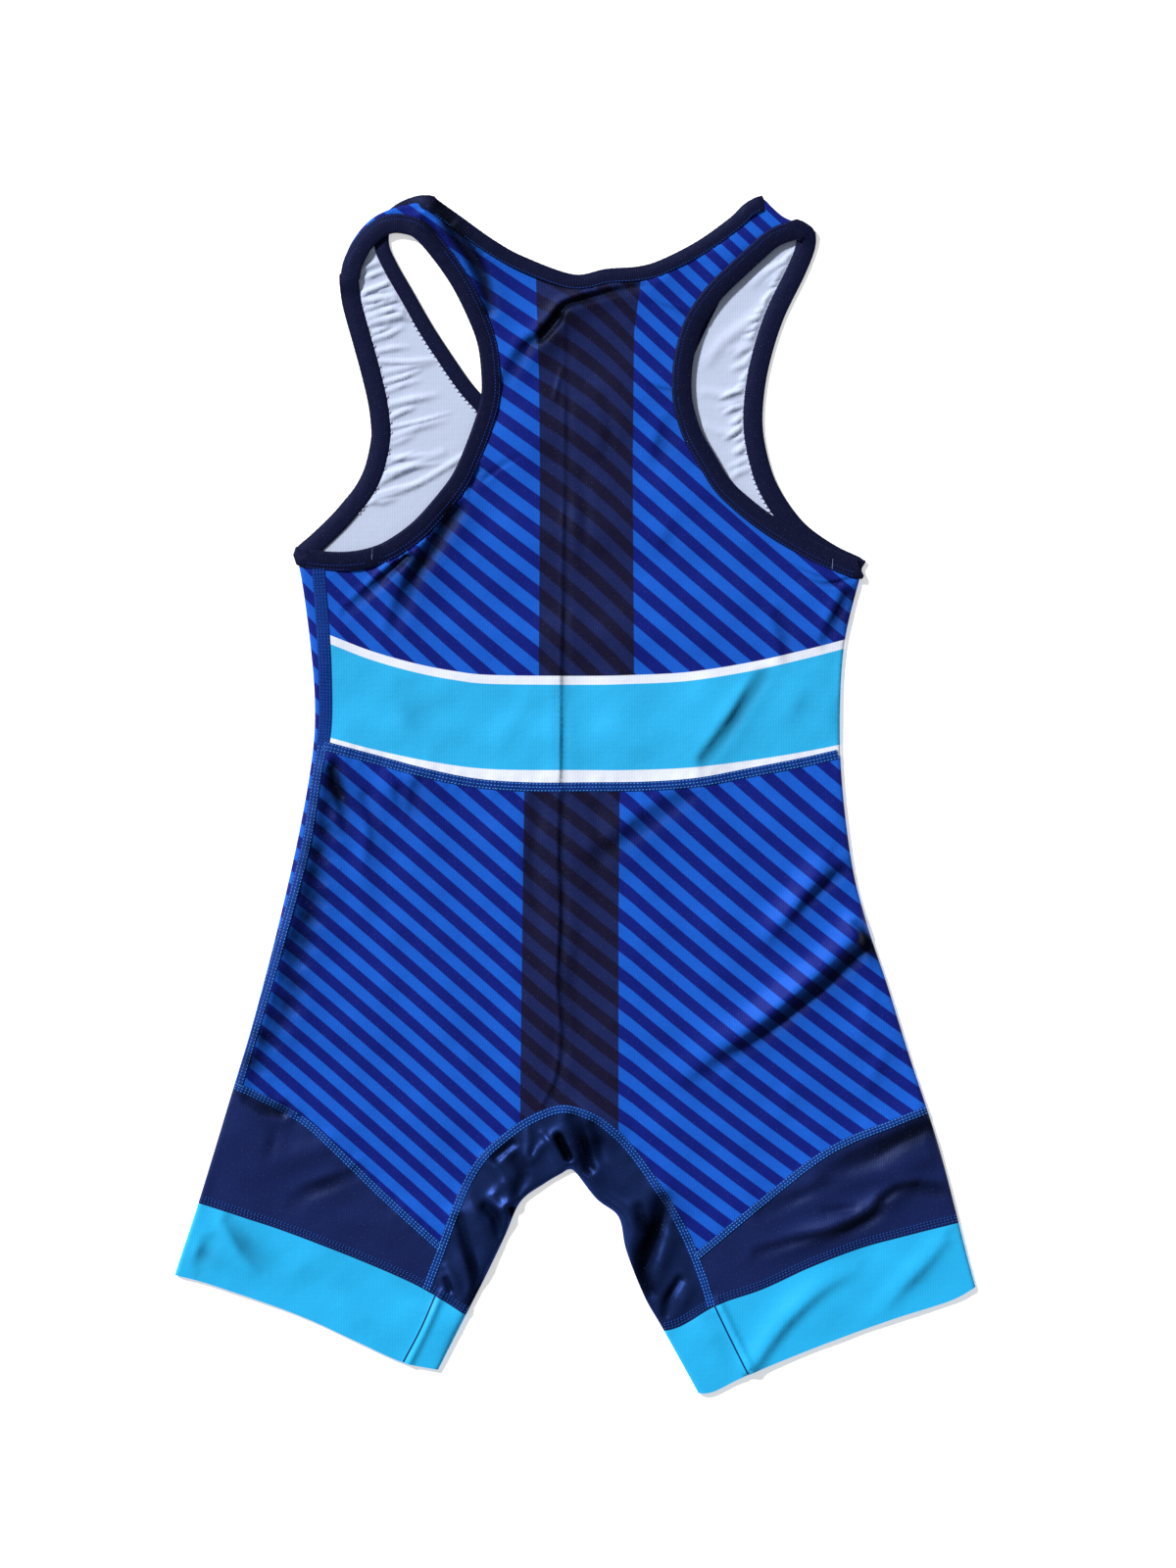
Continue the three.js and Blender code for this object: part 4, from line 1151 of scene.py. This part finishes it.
def print_group(colours):
    """Printed pattern: slanting stripes, a dark column and a bright band between two pale lines."""
    number = "NodeSocketFloat"
    tree, nodes, given, result = new_group(
        "Printed pattern",
        [("Stripe", number, 0.0), ("Column", number, 1.0), ("Below band top", number, 0.0),
         ("Above lower line", number, 0.0)],
        [("Color", "NodeSocketColor")],
    )
    wave = nodes.sum("COSINE", nodes.sum("MULTIPLY", given["Stripe"], 2 * math.pi))
    light = nodes.step(wave, -STRIPE_BLUR, STRIPE_BLUR)
    main = nodes.mix(light, rgba(colours.stripe_dark), rgba(colours.stripe_light))
    faint = nodes.step(wave, -FAINT_BLUR, FAINT_BLUR)
    column = nodes.mix(faint, rgba(colours.column_dark), rgba(colours.column_light))
    blur = PRINT_BLUR
    cloth_color = nodes.mix(nodes.step(given["Column"], -blur, blur), column, main)
    in_top = nodes.step(given["Below band top"], -blur, blur)
    in_band = nodes.step(given["Below band top"], BAND_LINE_WIDTH - blur, BAND_LINE_WIDTH + blur)
    over_low = nodes.step(given["Above lower line"], -blur, blur)
    color = nodes.mix(in_top, cloth_color, rgba(colours.line))
    color = nodes.mix(nodes.sum("MULTIPLY", in_band, over_low), color, rgba(colours.band))
    tree.links.new(color, result["Color"])


def tone_group():
    """Slight unevenness of dye and a few paler fibres."""
    tree, nodes, given, result = new_group(
        "Uneven dye",
        [("Color", "NodeSocketColor", (0.5, 0.5, 0.5, 1)), ("Vector", "NodeSocketVector", None),
         ("Amount", "NodeSocketFloat", 0.12), ("Fibres", "NodeSocketFloat", 0.05)],
        [("Color", "NodeSocketColor")],
    )
    broad = nodes.add("ShaderNodeTexNoise", {"Vector": given["Vector"], "Scale": 24.0, "Detail": 3.0})
    fine = nodes.add("ShaderNodeTexNoise", {"Vector": given["Vector"], "Scale": 900.0, "Detail": 1.0})
    swing = nodes.sum("SUBTRACT", broad.outputs["Fac"], 0.5)
    grain = nodes.sum("SUBTRACT", fine.outputs["Fac"], 0.5)
    level = nodes.sum("MULTIPLY_ADD", swing, given["Amount"], 1.0)
    level = nodes.sum("MULTIPLY_ADD", grain, nodes.sum("MULTIPLY", given["Amount"], 1.2), level)
    color = nodes.dim(given["Color"], level)
    speck = nodes.step(fine.outputs["Fac"], 0.62, 0.8)
    pale = nodes.mix(nodes.sum("MULTIPLY", speck, given["Fibres"]), color, FIBRE_COLOUR)
    tree.links.new(pale, result["Color"])


def shade_group():
    """Painted shade: darker colour in the troughs of creases, where little light gets in."""
    tree, nodes, given, result = new_group(
        "Creases",
        [("Color", "NodeSocketColor", (0.5, 0.5, 0.5, 1)), ("Painted shade", "NodeSocketFloat", 0.0)],
        [("Color", "NodeSocketColor")],
    )
    level = nodes.sum("SUBTRACT", 1.0, nodes.sum("MULTIPLY", given["Painted shade"], PAINTED_CREASE_SHADE))
    tree.links.new(nodes.dim(given["Color"], level), result["Color"])


def knit_group():
    """Height of a fine knit: loops in upright ribs."""
    tree, nodes, given, result = new_group(
        "Fine knit",
        [("Vector", "NodeSocketVector", None), ("Ribs", "NodeSocketFloat", 1000.0),
         ("Crinkle", "NodeSocketFloat", 0.3)],
        [("Height", "NodeSocketFloat")],
    )
    parts = nodes.add("ShaderNodeSeparateXYZ", {0: given["Vector"]}).outputs
    across = nodes.sum("MULTIPLY", given["Ribs"], 6.283)
    upright = nodes.sum("MULTIPLY", given["Ribs"], 8.2)
    ribs = nodes.sum("SINE", nodes.sum("MULTIPLY", parts[0], across))
    loops = nodes.sum("SINE", nodes.sum("MULTIPLY", parts[1], upright))
    knit = nodes.sum("MULTIPLY_ADD", loops, 0.5, ribs)
    noise = nodes.add("ShaderNodeTexNoise", {"Vector": given["Vector"], "Scale": 140.0, "Detail": 4.0})
    crinkle = nodes.sum("MULTIPLY", noise.outputs["Fac"], nodes.sum("MULTIPLY", given["Crinkle"], 8.0))
    tree.links.new(nodes.sum("MULTIPLY_ADD", knit, 0.22, crinkle), result["Height"])


def group_node(nodes, name, inputs):
    """Puts a node group in a material, with its own values."""
    node = nodes.add("ShaderNodeGroup", node_tree=bpy.data.node_groups[name])
    return nodes.feed(node, inputs).outputs[0]


def knit_material(name, color, roughness=0.5, sheen=0.04, relief=0.35, ribs=1000.0, crinkle=0.3,
                  specular=0.16, shine=BLUE_SHINE, tone=0.14, fibres=0.04, metallic=0.0):
    """Knitted cloth. The colour is a tuple, or a function that adds its nodes."""
    material = bpy.data.materials.new(name)
    material.use_nodes = True
    nodes = Nodes(material.node_tree)
    shader = material.node_tree.nodes["Principled BSDF"]
    place = nodes.add("ShaderNodeUVMap", uv_map="cloth").outputs[0]
    base = color(nodes) if callable(color) else rgba(color)
    # Painted shade: the colour is darker in the troughs of creases
    painted_shade = nodes.add("ShaderNodeAttribute", attribute_name="painted_shade").outputs["Fac"]
    base = group_node(nodes, "Creases", {"Color": base, "Painted shade": painted_shade})
    dye = {"Color": base, "Vector": place, "Amount": tone, "Fibres": fibres}
    height = group_node(nodes, "Fine knit", {"Vector": place, "Ribs": ribs, "Crinkle": crinkle})
    bump = nodes.add("ShaderNodeBump", {"Strength": relief, "Distance": KNIT_DEPTH, "Height": height})
    nodes.feed(shader, {
        "Base Color": group_node(nodes, "Uneven dye", dye), "Normal": bump.outputs[0],
        "Roughness": roughness, "Metallic": metallic,
        "Specular IOR Level": specular, "Specular Tint": shine,
        "Sheen Weight": sheen, "Sheen Roughness": 0.45, "Sheen Tint": shine,
    })


def printed_colour(nodes):
    """Reads a panel's print from its own numbers."""
    values = {}
    for socket, name in (("Stripe", "stripe"), ("Column", "column"),
                         ("Below band top", "band_top"), ("Above lower line", "band_low")):
        values[socket] = nodes.add("ShaderNodeAttribute", attribute_name=name).outputs["Fac"]
    return group_node(nodes, "Printed pattern", values)


def finish(name):
    """A material by name, made with the others when it is first asked for."""
    if name not in bpy.data.materials:
        colours = bpy.context.scene.singlet_colours
        print_group(colours)
        tone_group()
        shade_group()
        knit_group()
        knit_material("Striped knit", printed_colour)
        knit_material(
            "Pale inside", colours.inside, 0.75, 0.1, crinkle=0.25, shine=PALE_SHINE, tone=0.06, fibres=0
        )
        knit_material("Dark knit", colours.leg, 0.45, 0.05, 0.3, specular=0.22)
        knit_material(
            "Satin knit", colours.gusset, 0.44, 0.0, 0.1, crinkle=0.1, specular=0.05, metallic=0.7
        )
        knit_material("Bright knit", colours.cuff, 0.5, 0.05, 0.25, shine=PALE_SHINE, tone=0.08)
        knit_material("Binding knit", colours.binding, 0.5, 0.04, 0.5, ribs=700.0, specular=0.12)
        knit_material("Seam cover", colours.seam, 0.55, 0.04, 0.8, ribs=650.0)
        knit_material("Seam thread", colours.thread, 0.5, 0.1, 0.5, THREAD_RIBS, tone=0.9)
        knit_material("Side thread", colours.side_thread, 0.5, 0.1, 0.5, THREAD_RIBS)
        knit_material("Dark thread", colours.dark_thread, 0.55, 0.05, 0.5, THREAD_RIBS)
        knit_material("Pale thread", colours.pale_thread, 0.5, 0.1, 0.5, THREAD_RIBS)
    return bpy.data.materials[name]


def srgb(red, green, blue):
    """A colour as seen on screen, 0 to 255, as linear light."""
    share = np.array([red, green, blue]) / 255
    return tuple(np.where(share <= 0.04045, share / 12.92, ((share + 0.055) / 1.055) ** 2.4).tolist())


def tint(name, description, *levels):
    """A colour that a user may change, given as it is seen on screen."""
    return FloatVectorProperty(
        name=name, description=description, subtype="COLOR", size=3, min=0, max=1,
        default=srgb(*levels),
    )


def size(name, description, millimetres):
    """A size that a user may change."""
    return FloatProperty(
        name=name, description=description, default=millimetres * MM, min=0, unit="LENGTH", precision=5
    )


class SingletSizes(bpy.types.PropertyGroup):
    """Sizes that a user would change."""

    cloth: size("Cloth", "Thickness of the knitted cloth", 0.8)
    cuff_cloth: size("Cuff", "Thickness of the doubled cuff", 1.1)
    arm_binding: size("Armhole binding", "Width of the armhole bindings", 12.4)
    neck_binding: size("Neck binding", "Width of the neck binding", 9.6)
    binding_thickness: size("Binding thickness", "Thickness of the folded bindings", 1.7)
    seam_cover: size("Seam cover", "Width of the cover stitching on a seam", 5.6)
    side_cover: size("Side seam cover", "Width of the stitching down the side seam", 8.4)
    stitch_pitch: size("Stitch", "Distance from one stitch to the next", 2.2)
    cell: size("Mesh cell", "Size of the triangles of the panels in sight", 2.3)
    hidden_cell: size("Hidden mesh cell", "Size of the triangles of the panels out of sight", 6.0)
    creases: FloatProperty(
        name="Creases", description="Depth of the creases, where 1 is as laid out", default=1.0, min=0,
        max=2, subtype="FACTOR",
    )


class SingletColours(bpy.types.PropertyGroup):
    """Colours of the cloth and thread."""

    stripe_light: tint("Light stripe", "Lighter of the two printed blues", 24, 89, 198)
    stripe_dark: tint("Dark stripe", "Darker of the two printed blues", 15, 28, 118)
    column_light: tint("Column stripe", "Faint stripe in the dark column", 26, 35, 82)
    column_dark: tint("Column", "Ground of the dark column", 22, 18, 44)
    band: tint("Band", "Bright band across the back", 46, 174, 231)
    line: tint("Line", "Pale lines above and below the band", 226, 232, 247)
    leg: tint("Leg", "Plain cloth of the legs", 21, 33, 82)
    gusset: tint("Gusset", "Shiny cloth between the legs", 30, 48, 100)
    cuff: tint("Cuff", "Bright cuffs", 36, 174, 234)
    binding: tint("Binding", "Bindings of the neck and armholes", 16, 18, 45)
    inside: tint("Inside", "Unprinted inside of the cloth", 188, 199, 226)
    seam: tint("Seam cover", "Ground of the cover stitching", 12, 46, 122)
    thread: tint("Thread", "Thread of the seams", 70, 140, 215)
    side_thread: tint("Side thread", "Thread of the side seam", 26, 74, 158)
    dark_thread: tint("Dark thread", "Thread of the bindings and cuffs", 28, 58, 146)
    pale_thread: tint("Pale thread", "Thread of the bar tacks", 150, 165, 210)


# Sizes and pieces


def sizes():
    """The sizes now set."""
    return bpy.context.scene.singlet_sizes


def garment():
    """The garment's lines and heights at the sizes now set."""
    return Garment(sizes().creases)


def place(thing, slot, node=None):
    """Puts a piece on the part's one body and hides the solid that it stands for."""
    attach(thing, "root")
    if node:
        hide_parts(node)


def flat_cut(layers):
    """Width, length and area of the cloth that a panel is cut from, in metres."""
    area = sum(np.abs(areas(xy, triangles)).sum() for xy, triangles, *_ in layers) * MM**2
    every = np.vstack([layer[0] for layer in layers])
    width, length = (every.max(0) - every.min(0)) * MM
    times = len(layers) if area > width * length else 1
    return width * times, length, area


def panel(name, layers, shape, slot, outside, thickness):
    """Builds one cut piece of cloth, without its print."""
    thing = cloth(name, layers, thickness, [finish(outside), finish("Pale inside")])
    map_cloth(thing)
    # Painted shade in the troughs of the panel's creases, on its outer face only
    shaded(thing, shape, len(thing.data.vertices) // 2)
    place(thing, slot, name)
    return thing


def declare(thing, layers):
    """Works out the flat cut of a panel, and does nothing with the result."""
    width, length, area = flat_cut(layers)
    round(min(area, width * length), 6)


def cell(hidden=False):
    """Size of a panel's triangles, in millimetres."""
    return (sizes().hidden_cell if hidden else sizes().cell) / MM


class SINGLET_OT_bindings(bpy.types.Operator):
    """Bindings round the armholes and the neck, with their edge stitches"""

    bl_idname = "singlet.bindings"
    bl_label = "Bindings"

    def execute(self, context):
        s = sizes()
        section = round_strip(s.binding_thickness / MM)
        shape = garment()
        loops = (
            ("armhole_binding_left", LEFT_ARM_BACK, LEFT_ARM_FRONT, s.arm_binding),
            ("armhole_binding_right", RIGHT_ARM_BACK[::-1], RIGHT_ARM_FRONT, s.arm_binding),
            ("neck_binding", NECK_BACK[::-1], NECK_FRONT, s.neck_binding),
        )
        for name, back, front, width in loops:
            self.loop(name, back, front, width / MM, section, shape)
        return {"FINISHED"}

    def loop(self, name, back, front, width, section, shape):
        upper, lower = curve(back, BINDING_STEP), curve(front, BINDING_STEP)
        plan = even(np.vstack([upper, lower]), BINDING_STEP)
        path = self.path(plan, len(upper), shape)
        half = width / 2
        ripple = BINDING_RIPPLE * np.sin(lengths(path[:, :2]) * 2.3)
        widths = np.column_stack([half + ripple, half - ripple * 0.6])
        thing = sweep(name, path, widths, section, [finish("Binding knit")])
        # Painted shade where a crease's trough runs across the binding
        shaded(thing, shape)
        place(thing, "binding_knit", name)
        neck = name == "neck_binding"
        left_side = 1 if name != "armhole_binding_left" else -1
        top = plan[3 : len(upper) - 4]
        insets = [half - depth for depth in BINDING_STITCH_INSETS[: 1 if neck else 2]]
        threads = stitches(
            f"{name}_stitches", [(beside(top, left_side * inset), 0.0) for inset in insets],
            BINDING_STITCH_PITCH, BINDING_STITCH, shape.on_binding,
            [finish("Side thread" if neck else "Dark thread")],
        )
        place(threads, "binding_knit")
        round_loop = lengths(np.vstack([path, path[:1]]))[-1] * MM

    @staticmethod
    def path(plan, turn, shape):
        """The binding's line in space, down from the back to the front and round the fold again."""
        run = lengths(plan)
        lower_share = 1 / (1 + np.exp(-(run - run[turn] - DESCENT_PLACE) / DESCENT_LENGTH))
        z = BACK_BINDING_HEIGHT * (1 - lower_share) + FRONT_BINDING_HEIGHT * lower_share
        path = np.column_stack([plan, z + shape.binding_lift(plan) * (1 - lower_share)])[1:-2]
        out = path[0, :2] - path[4, :2]
        out /= np.linalg.norm(out)
        middle = (path[0, :2] + path[-1, :2]) / 2
        bulge = [(*(middle + out * distance), height) for distance, height in BINDING_BULGE]
        return np.vstack([path, bulge])


class SINGLET_OT_scallops(bpy.types.Operator):
    """Small scallops of the pale inside where it is gathered on to the front bindings"""

    bl_idname = "singlet.scallops"
    bl_label = "Scallops"

    def execute(self, context):
        # Name, binding, distance from its middle, first and last place along it
        edges = (
            ("left", LEFT_ARM_FRONT, 6.6, 8, -22), ("right", RIGHT_ARM_FRONT, -6.6, 12, -16),
            ("neck", NECK_FRONT, -5.2, 44, 96),
        )
        for name, table, inset, first, last in edges:
            line = beside(curve(table), inset)[first:last]
            edge = stitches(
                f"scallops_{name}", [(line, SCALLOP_TURN)], SCALLOP_PITCH, SCALLOP,
                lambda xy: np.full(len(xy), SCALLOP_HEIGHT), [finish("Pale inside")],
            )
            place(edge, "striped_knit")
        return {"FINISHED"}


class SINGLET_OT_bar_tacks(bpy.types.Operator):
    """Bar tacks at the armpits, small bars of pale thread"""

    bl_idname = "singlet.bar_tacks"
    bl_label = "Bar tacks"

    def execute(self, context):
        rows = []
        for (x, y), (dx, dy) in BAR_TACKS:
            line = np.array([(x - dx, y - dy), (x, y), (x + dx, y + dy)]) + TABLE_SHIFT
            rows.append((line, 0.5))
        threads = stitches(
            "bar_tacks", rows, BAR_TACK_PITCH, BAR_TACK, garment().on_binding, [finish("Pale thread")],
        )
        place(threads, "binding_knit")
        return {"FINISHED"}


class SINGLET_OT_seams(bpy.types.Operator):
    """Cover stitching on the seams, with its rows of thread"""

    bl_idname = "singlet.seams"
    bl_label = "Seams"

    def execute(self, context):
        s = sizes()
        shape = garment()
        cover, side = s.seam_cover / MM, s.side_cover / MM
        waist = stretch(shape.waist, shape.side_seam, shape.right)
        above = stretch(shape.side_seam, shape.left_arm_back, shape.waist)
        below = stretch(shape.side_seam, shape.waist, shape.left_wedge)
        left_wedge = stretch(shape.left_wedge, shape.left, shape.gusset)
        right_wedge = stretch(shape.right_wedge, shape.gusset, shape.right)
        gusset = stretch(shape.gusset, shape.left_cuff, shape.right_cuff)
        straight, slant, four = (0, 0, 0), (0.12, -0.12, 0.12), (0, 0, 0, 0)
        waist, above, below, left_wedge, right_wedge, gusset = (
            even(line, SEAM_STEP) for line in (waist, above, below, left_wedge, right_wedge, gusset)
        )
        runs = (
            ("waist_seam", beside(waist[1:-1], 1.3), cover + 0.4, (-2.2, -0.1, 2.0), slant),
            ("side_seam_upper", above[4:], side, (-3.1, -1.05, 1.0, 3.05), four),
            ("side_seam_lower", below[:-1], cover + 0.8, (-2.2, 0.0, 2.2), straight),
            ("left_wedge_seam", left_wedge[1:-1], cover - 0.6, (-1.7, 0.0, 1.7), slant),
            ("right_wedge_seam", right_wedge[1:-1], cover - 0.6, (-1.7, 0.0, 1.7), slant),
            ("gusset_seam", gusset[1:-1], cover - 0.2, (-1.9, 0.0, 1.9), slant),
        )
        for name, line, width, offsets, turns in runs:
            strip = tape(f"{name}_cover", line, width, COVER_HEIGHT, shape, [finish("Seam cover")])
            # Painted shade on the cover and its threads where a crease's trough runs across them
            shaded(strip, shape)
            place(strip, "striped_knit")
            at_side = name == "side_seam_upper"
            rows = [(shape.inward(beside(line, offset)), turn) for offset, turn in zip(offsets, turns)]
            threads = stitches(
                f"{name}_stitches", rows, s.stitch_pitch / MM, SIDE_STITCH if at_side else SEAM_STITCH,
                lambda xy: shape.back(xy) + THREAD_HEIGHT,
                [finish("Side thread" if at_side else "Seam thread")],
            )
            shaded(threads, shape)
            place(threads, "striped_knit")
        self.cuff_stitches(shape)
        self.cuff_joins(shape)
        return {"FINISHED"}

    @staticmethod
    def cuff_stitches(shape):
        insets = ((1.6, 0.5), (3.4, -0.5), (5.0, 0.5))
        for name, seam, side in (
            ("left", shape.left_cuff, shape.left), ("right", shape.right_cuff, shape.right),
        ):
            line = even(stretch(seam, side, shape.inner), SEAM_STEP)[1:-1]
            above = 1 if line[0, 0] < line[-1, 0] else -1
            threads = stitches(
                f"cuff_{name}_stitches", [(beside(line, above * inset), turn) for inset, turn in insets],
                sizes().stitch_pitch / MM, CUFF_STITCH,
                lambda xy: shape.back(xy) + CUFF_THREAD_HEIGHT, [finish("Side thread")],
            )
            place(threads, "dark_knit")

    @staticmethod
    def cuff_joins(shape):
        for name, table in (("left", LEFT_CUFF_JOIN), ("right", RIGHT_CUFF_JOIN)):
            line = curve(table, SEAM_STEP)
            strip = tape(
                f"cuff_{name}_join", line, CUFF_JOIN_WIDTH, CUFF_JOIN_HEIGHT, shape,
                [finish("Dark knit")],
            )
            place(strip, "bright_knit")


class SINGLET_OT_back_panels(bpy.types.Operator):
    """Upper and lower back panels, which lie on top and turn under at the right side"""

    bl_idname = "singlet.back_panels"
    bl_label = "Back panels"

    def execute(self, context):
        g = garment()
        thick = sizes().cloth
        upper = enclosed(g.waist, g.right, g.right_arm_back, g.right_shoulder, g.neck_back,
                         g.left_shoulder, g.left_arm_back, g.side_seam)
        upper_under = enclosed(g.waist, g.right, g.right_arm_front, g.under_right)
        layers = [
            (*fill(upper, [g.right, g.left_shoulder, g.right_shoulder], cell(), g.creases), g.back, True),
            (*fill(upper_under, [g.right], cell(True)), g.front, False),
        ]
        thing = panel("upper_back", layers, g, "striped_knit", "Striped knit", thick)
        printed(thing, "upper", True)
        declare(thing, layers)
        lower = enclosed(g.waist, g.right, g.right_wedge, g.gusset, g.left_wedge, g.side_seam)
        lower_under = enclosed(g.waist, g.right, g.right_wedge, g.under_right)
        layers = [
            (*fill(lower, [g.right], cell(), g.creases), g.back, True),
            (*fill(lower_under, [g.right], cell(True)), g.front, False),
        ]
        thing = panel("lower_back", layers, g, "striped_knit", "Striped knit", thick)
        printed(thing, "lower", False)
        declare(thing, layers)
        return {"FINISHED"}


class SINGLET_OT_front_panels(bpy.types.Operator):
    """Upper and lower front panels, which lie below with their pale inside up"""

    bl_idname = "singlet.front_panels"
    bl_label = "Front panels"

    def execute(self, context):
        g = garment()
        thick = sizes().cloth
        under = enclosed(g.waist, g.under_right, g.right_arm_front, g.right_shoulder,
                         g.neck_front, g.left_shoulder, g.left_arm_front, g.left)
        strip = enclosed(g.waist, g.side_seam, g.left_arm_back, g.left)
        zone = np.vstack([curve(LEFT_ARM_FRONT)[::-1], curve(RIGHT_ARM_FRONT)])
        layers = [
            (*fill(under, [g.left, g.left_shoulder, g.right_shoulder], cell(True),
                   g.inside_folds, zone), g.front, False),
            (*fill(strip, [g.left], cell()), g.back, True),
        ]
        thing = panel("upper_front", layers, g, "striped_knit", "Striped knit", thick)
        printed(thing, "upper", False)
        declare(thing, layers)
        under = enclosed(g.waist, g.under_right, g.right_wedge, g.gusset, g.left_wedge, g.left)
        strip = enclosed(g.waist, g.side_seam, g.left_wedge, g.left)
        layers = [
            (*fill(under, [g.left], cell(True)), g.front, False),
            (*fill(strip, [g.left], cell()), g.back, True),
        ]
        thing = panel("lower_front", layers, g, "striped_knit", "Striped knit", thick)
        printed(thing, "lower", False)
        declare(thing, layers)
        return {"FINISHED"}


def tube(name, parts, folds, g, slot, outside, thickness, fine):
    """A piece that goes round a leg: the same outline above and below, joined at its folds."""
    top = fill(parts, folds, fine, g.creases)
    low = fill(parts, folds, cell(True))
    layers = [(*top, g.back, True), (*low, g.front, False)]
    declare(panel(name, layers, g, slot, outside, thickness), layers)


class SINGLET_OT_legs(bpy.types.Operator):
    """Leg panels, gusset and cuffs, which go round both layers"""

    bl_idname = "singlet.legs"
    bl_label = "Legs, gusset and cuffs"

    def execute(self, context):
        g = garment()
        s = sizes()
        tube("leg_panel_left", enclosed(g.left_wedge, g.gusset, g.left_cuff, g.left), [g.left], g,
             "dark_knit", "Dark knit", s.cloth, cell())
        tube("leg_panel_right", enclosed(g.right_wedge, g.right, g.right_cuff, g.gusset), [g.right], g,
             "dark_knit", "Dark knit", s.cloth, cell())
        tube("gusset", enclosed(g.gusset, g.right_cuff, g.inner, g.left_cuff), [g.inner], g,
             "satin_knit", "Satin knit", s.cloth, GUSSET_CELL)
        tube("cuff_left", enclosed(g.left_cuff, g.inner, g.left_hem, g.left), [g.left, g.inner], g,
             "bright_knit", "Bright knit", s.cuff_cloth, cell())
        tube("cuff_right", enclosed(g.right_cuff, g.right, g.right_hem, g.inner), [g.right, g.inner], g,
             "bright_knit", "Bright knit", s.cuff_cloth, cell())
        return {"FINISHED"}


# Stage

FRAME_HEIGHT = 0.992
FRAME_CENTRE = (0.00806, 0.00666)
LENS = 85.0
SENSOR = 36.0
SKY_LIGHT = 0.26
KEY_LIGHT = 4.9
FLOOR_GLOW = 0.45
FLOOR_COLOURS = ((0.93, 0.925, 0.92, 1), (0.95, 0.945, 0.94, 1))
SKY_COLOUR = (0.93, 0.96, 1.0, 1)
KEY_COLOUR = (1.0, 0.985, 0.96)
FLOOR_SIZE = 60.0
FLOOR_GAP = 0.0001
SIGHT = 100.0
KEY_SOFTNESS = 7.0
KEY_PLACE = (-1.5, 1.35, 1.35)


class SINGLET_OT_stage(bpy.types.Operator):
    """Pale floor, soft light from the upper left and a camera straight above"""

    bl_idname = "singlet.stage"
    bl_label = "Stage"

    def execute(self, context):
        scene = context.scene
        scene.view_settings.view_transform = "Standard"
        scene.view_settings.look = "None"
        self.floor()
        self.camera(scene)
        self.lights(scene)
        return {"FINISHED"}

    @staticmethod
    def floor():
        bpy.ops.object.select_all(action="DESELECT")
        bpy.ops.mesh.primitive_grid_add(
            x_subdivisions=4, y_subdivisions=4, size=FLOOR_SIZE, location=(0, 0, -FLOOR_GAP),
        )
        ground = bpy.context.active_object
        ground.name = "floor"
        material = bpy.data.materials.new("Pale floor")
        material.use_nodes = True
        nodes = Nodes(material.node_tree)
        noise = nodes.add("ShaderNodeTexNoise", {"Scale": 3.0, "Detail": 2.0})
        tone = nodes.mix(noise.outputs["Fac"], *FLOOR_COLOURS)
        nodes.feed(material.node_tree.nodes["Principled BSDF"], {
            "Base Color": tone, "Roughness": 0.9, "Specular IOR Level": 0.1,
            "Emission Color": (1, 1, 1, 1), "Emission Strength": FLOOR_GLOW,
        })
        ground.data.materials.append(material)

    @staticmethod
    def camera(scene):
        distance = FRAME_HEIGHT * LENS / SENSOR
        data = bpy.data.cameras.new("camera")
        data.lens = LENS
        data.sensor_width = SENSOR
        data.clip_end = SIGHT
        camera = bpy.data.objects.new("camera", data)
        camera.location = (*FRAME_CENTRE, distance)
        scene.collection.objects.link(camera)
        scene.camera = camera

    @staticmethod
    def lights(scene):
        world = bpy.data.worlds.new("studio")
        world.use_nodes = True
        backdrop = world.node_tree.nodes["Background"].inputs
        backdrop["Color"].default_value = SKY_COLOUR
        backdrop["Strength"].default_value = SKY_LIGHT
        scene.world = world
        data = bpy.data.lights.new("key", "SUN")
        data.energy = KEY_LIGHT
        data.angle = math.radians(KEY_SOFTNESS)
        data.color = KEY_COLOUR
        light = bpy.data.objects.new("key", data)
        light.location = KEY_PLACE
        light.rotation_euler = (-Vector(KEY_PLACE)).to_track_quat("-Z", "Y").to_euler()
        scene.collection.objects.link(light)


STEPS = (
    SINGLET_OT_bindings, SINGLET_OT_scallops, SINGLET_OT_bar_tacks, SINGLET_OT_seams,
    SINGLET_OT_back_panels, SINGLET_OT_front_panels, SINGLET_OT_legs, SINGLET_OT_stage,
)


class SINGLET_PT_panel(bpy.types.Panel):
    """Lists the garment's pieces in the 3D view's sidebar"""

    bl_idname = "SINGLET_PT_panel"
    bl_label = "Singlet"
    bl_space_type = "VIEW_3D"
    bl_region_type = "UI"
    bl_category = "Singlet"

    def draw(self, context):
        for step in STEPS:
            self.layout.operator(step.bl_idname)
        for group in (context.scene.singlet_sizes, context.scene.singlet_colours):
            for name in group.__annotations__:
                self.layout.prop(group, name)


CLASSES = (SingletSizes, SingletColours, *STEPS, SINGLET_PT_panel)


def register():
    for each in CLASSES:
        bpy.utils.register_class(each)
    bpy.types.Scene.singlet_sizes = PointerProperty(type=SingletSizes)
    bpy.types.Scene.singlet_colours = PointerProperty(type=SingletColours)


def unregister():
    del bpy.types.Scene.singlet_colours
    del bpy.types.Scene.singlet_sizes
    for each in reversed(CLASSES):
        bpy.utils.unregister_class(each)


def main():
    """Makes the whole garment and its stage."""
    register()
    for step in STEPS:
        group, name = step.bl_idname.split(".")
        getattr(getattr(bpy.ops, group), name)()
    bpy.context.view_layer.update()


if __name__ == "__main__":
    main()
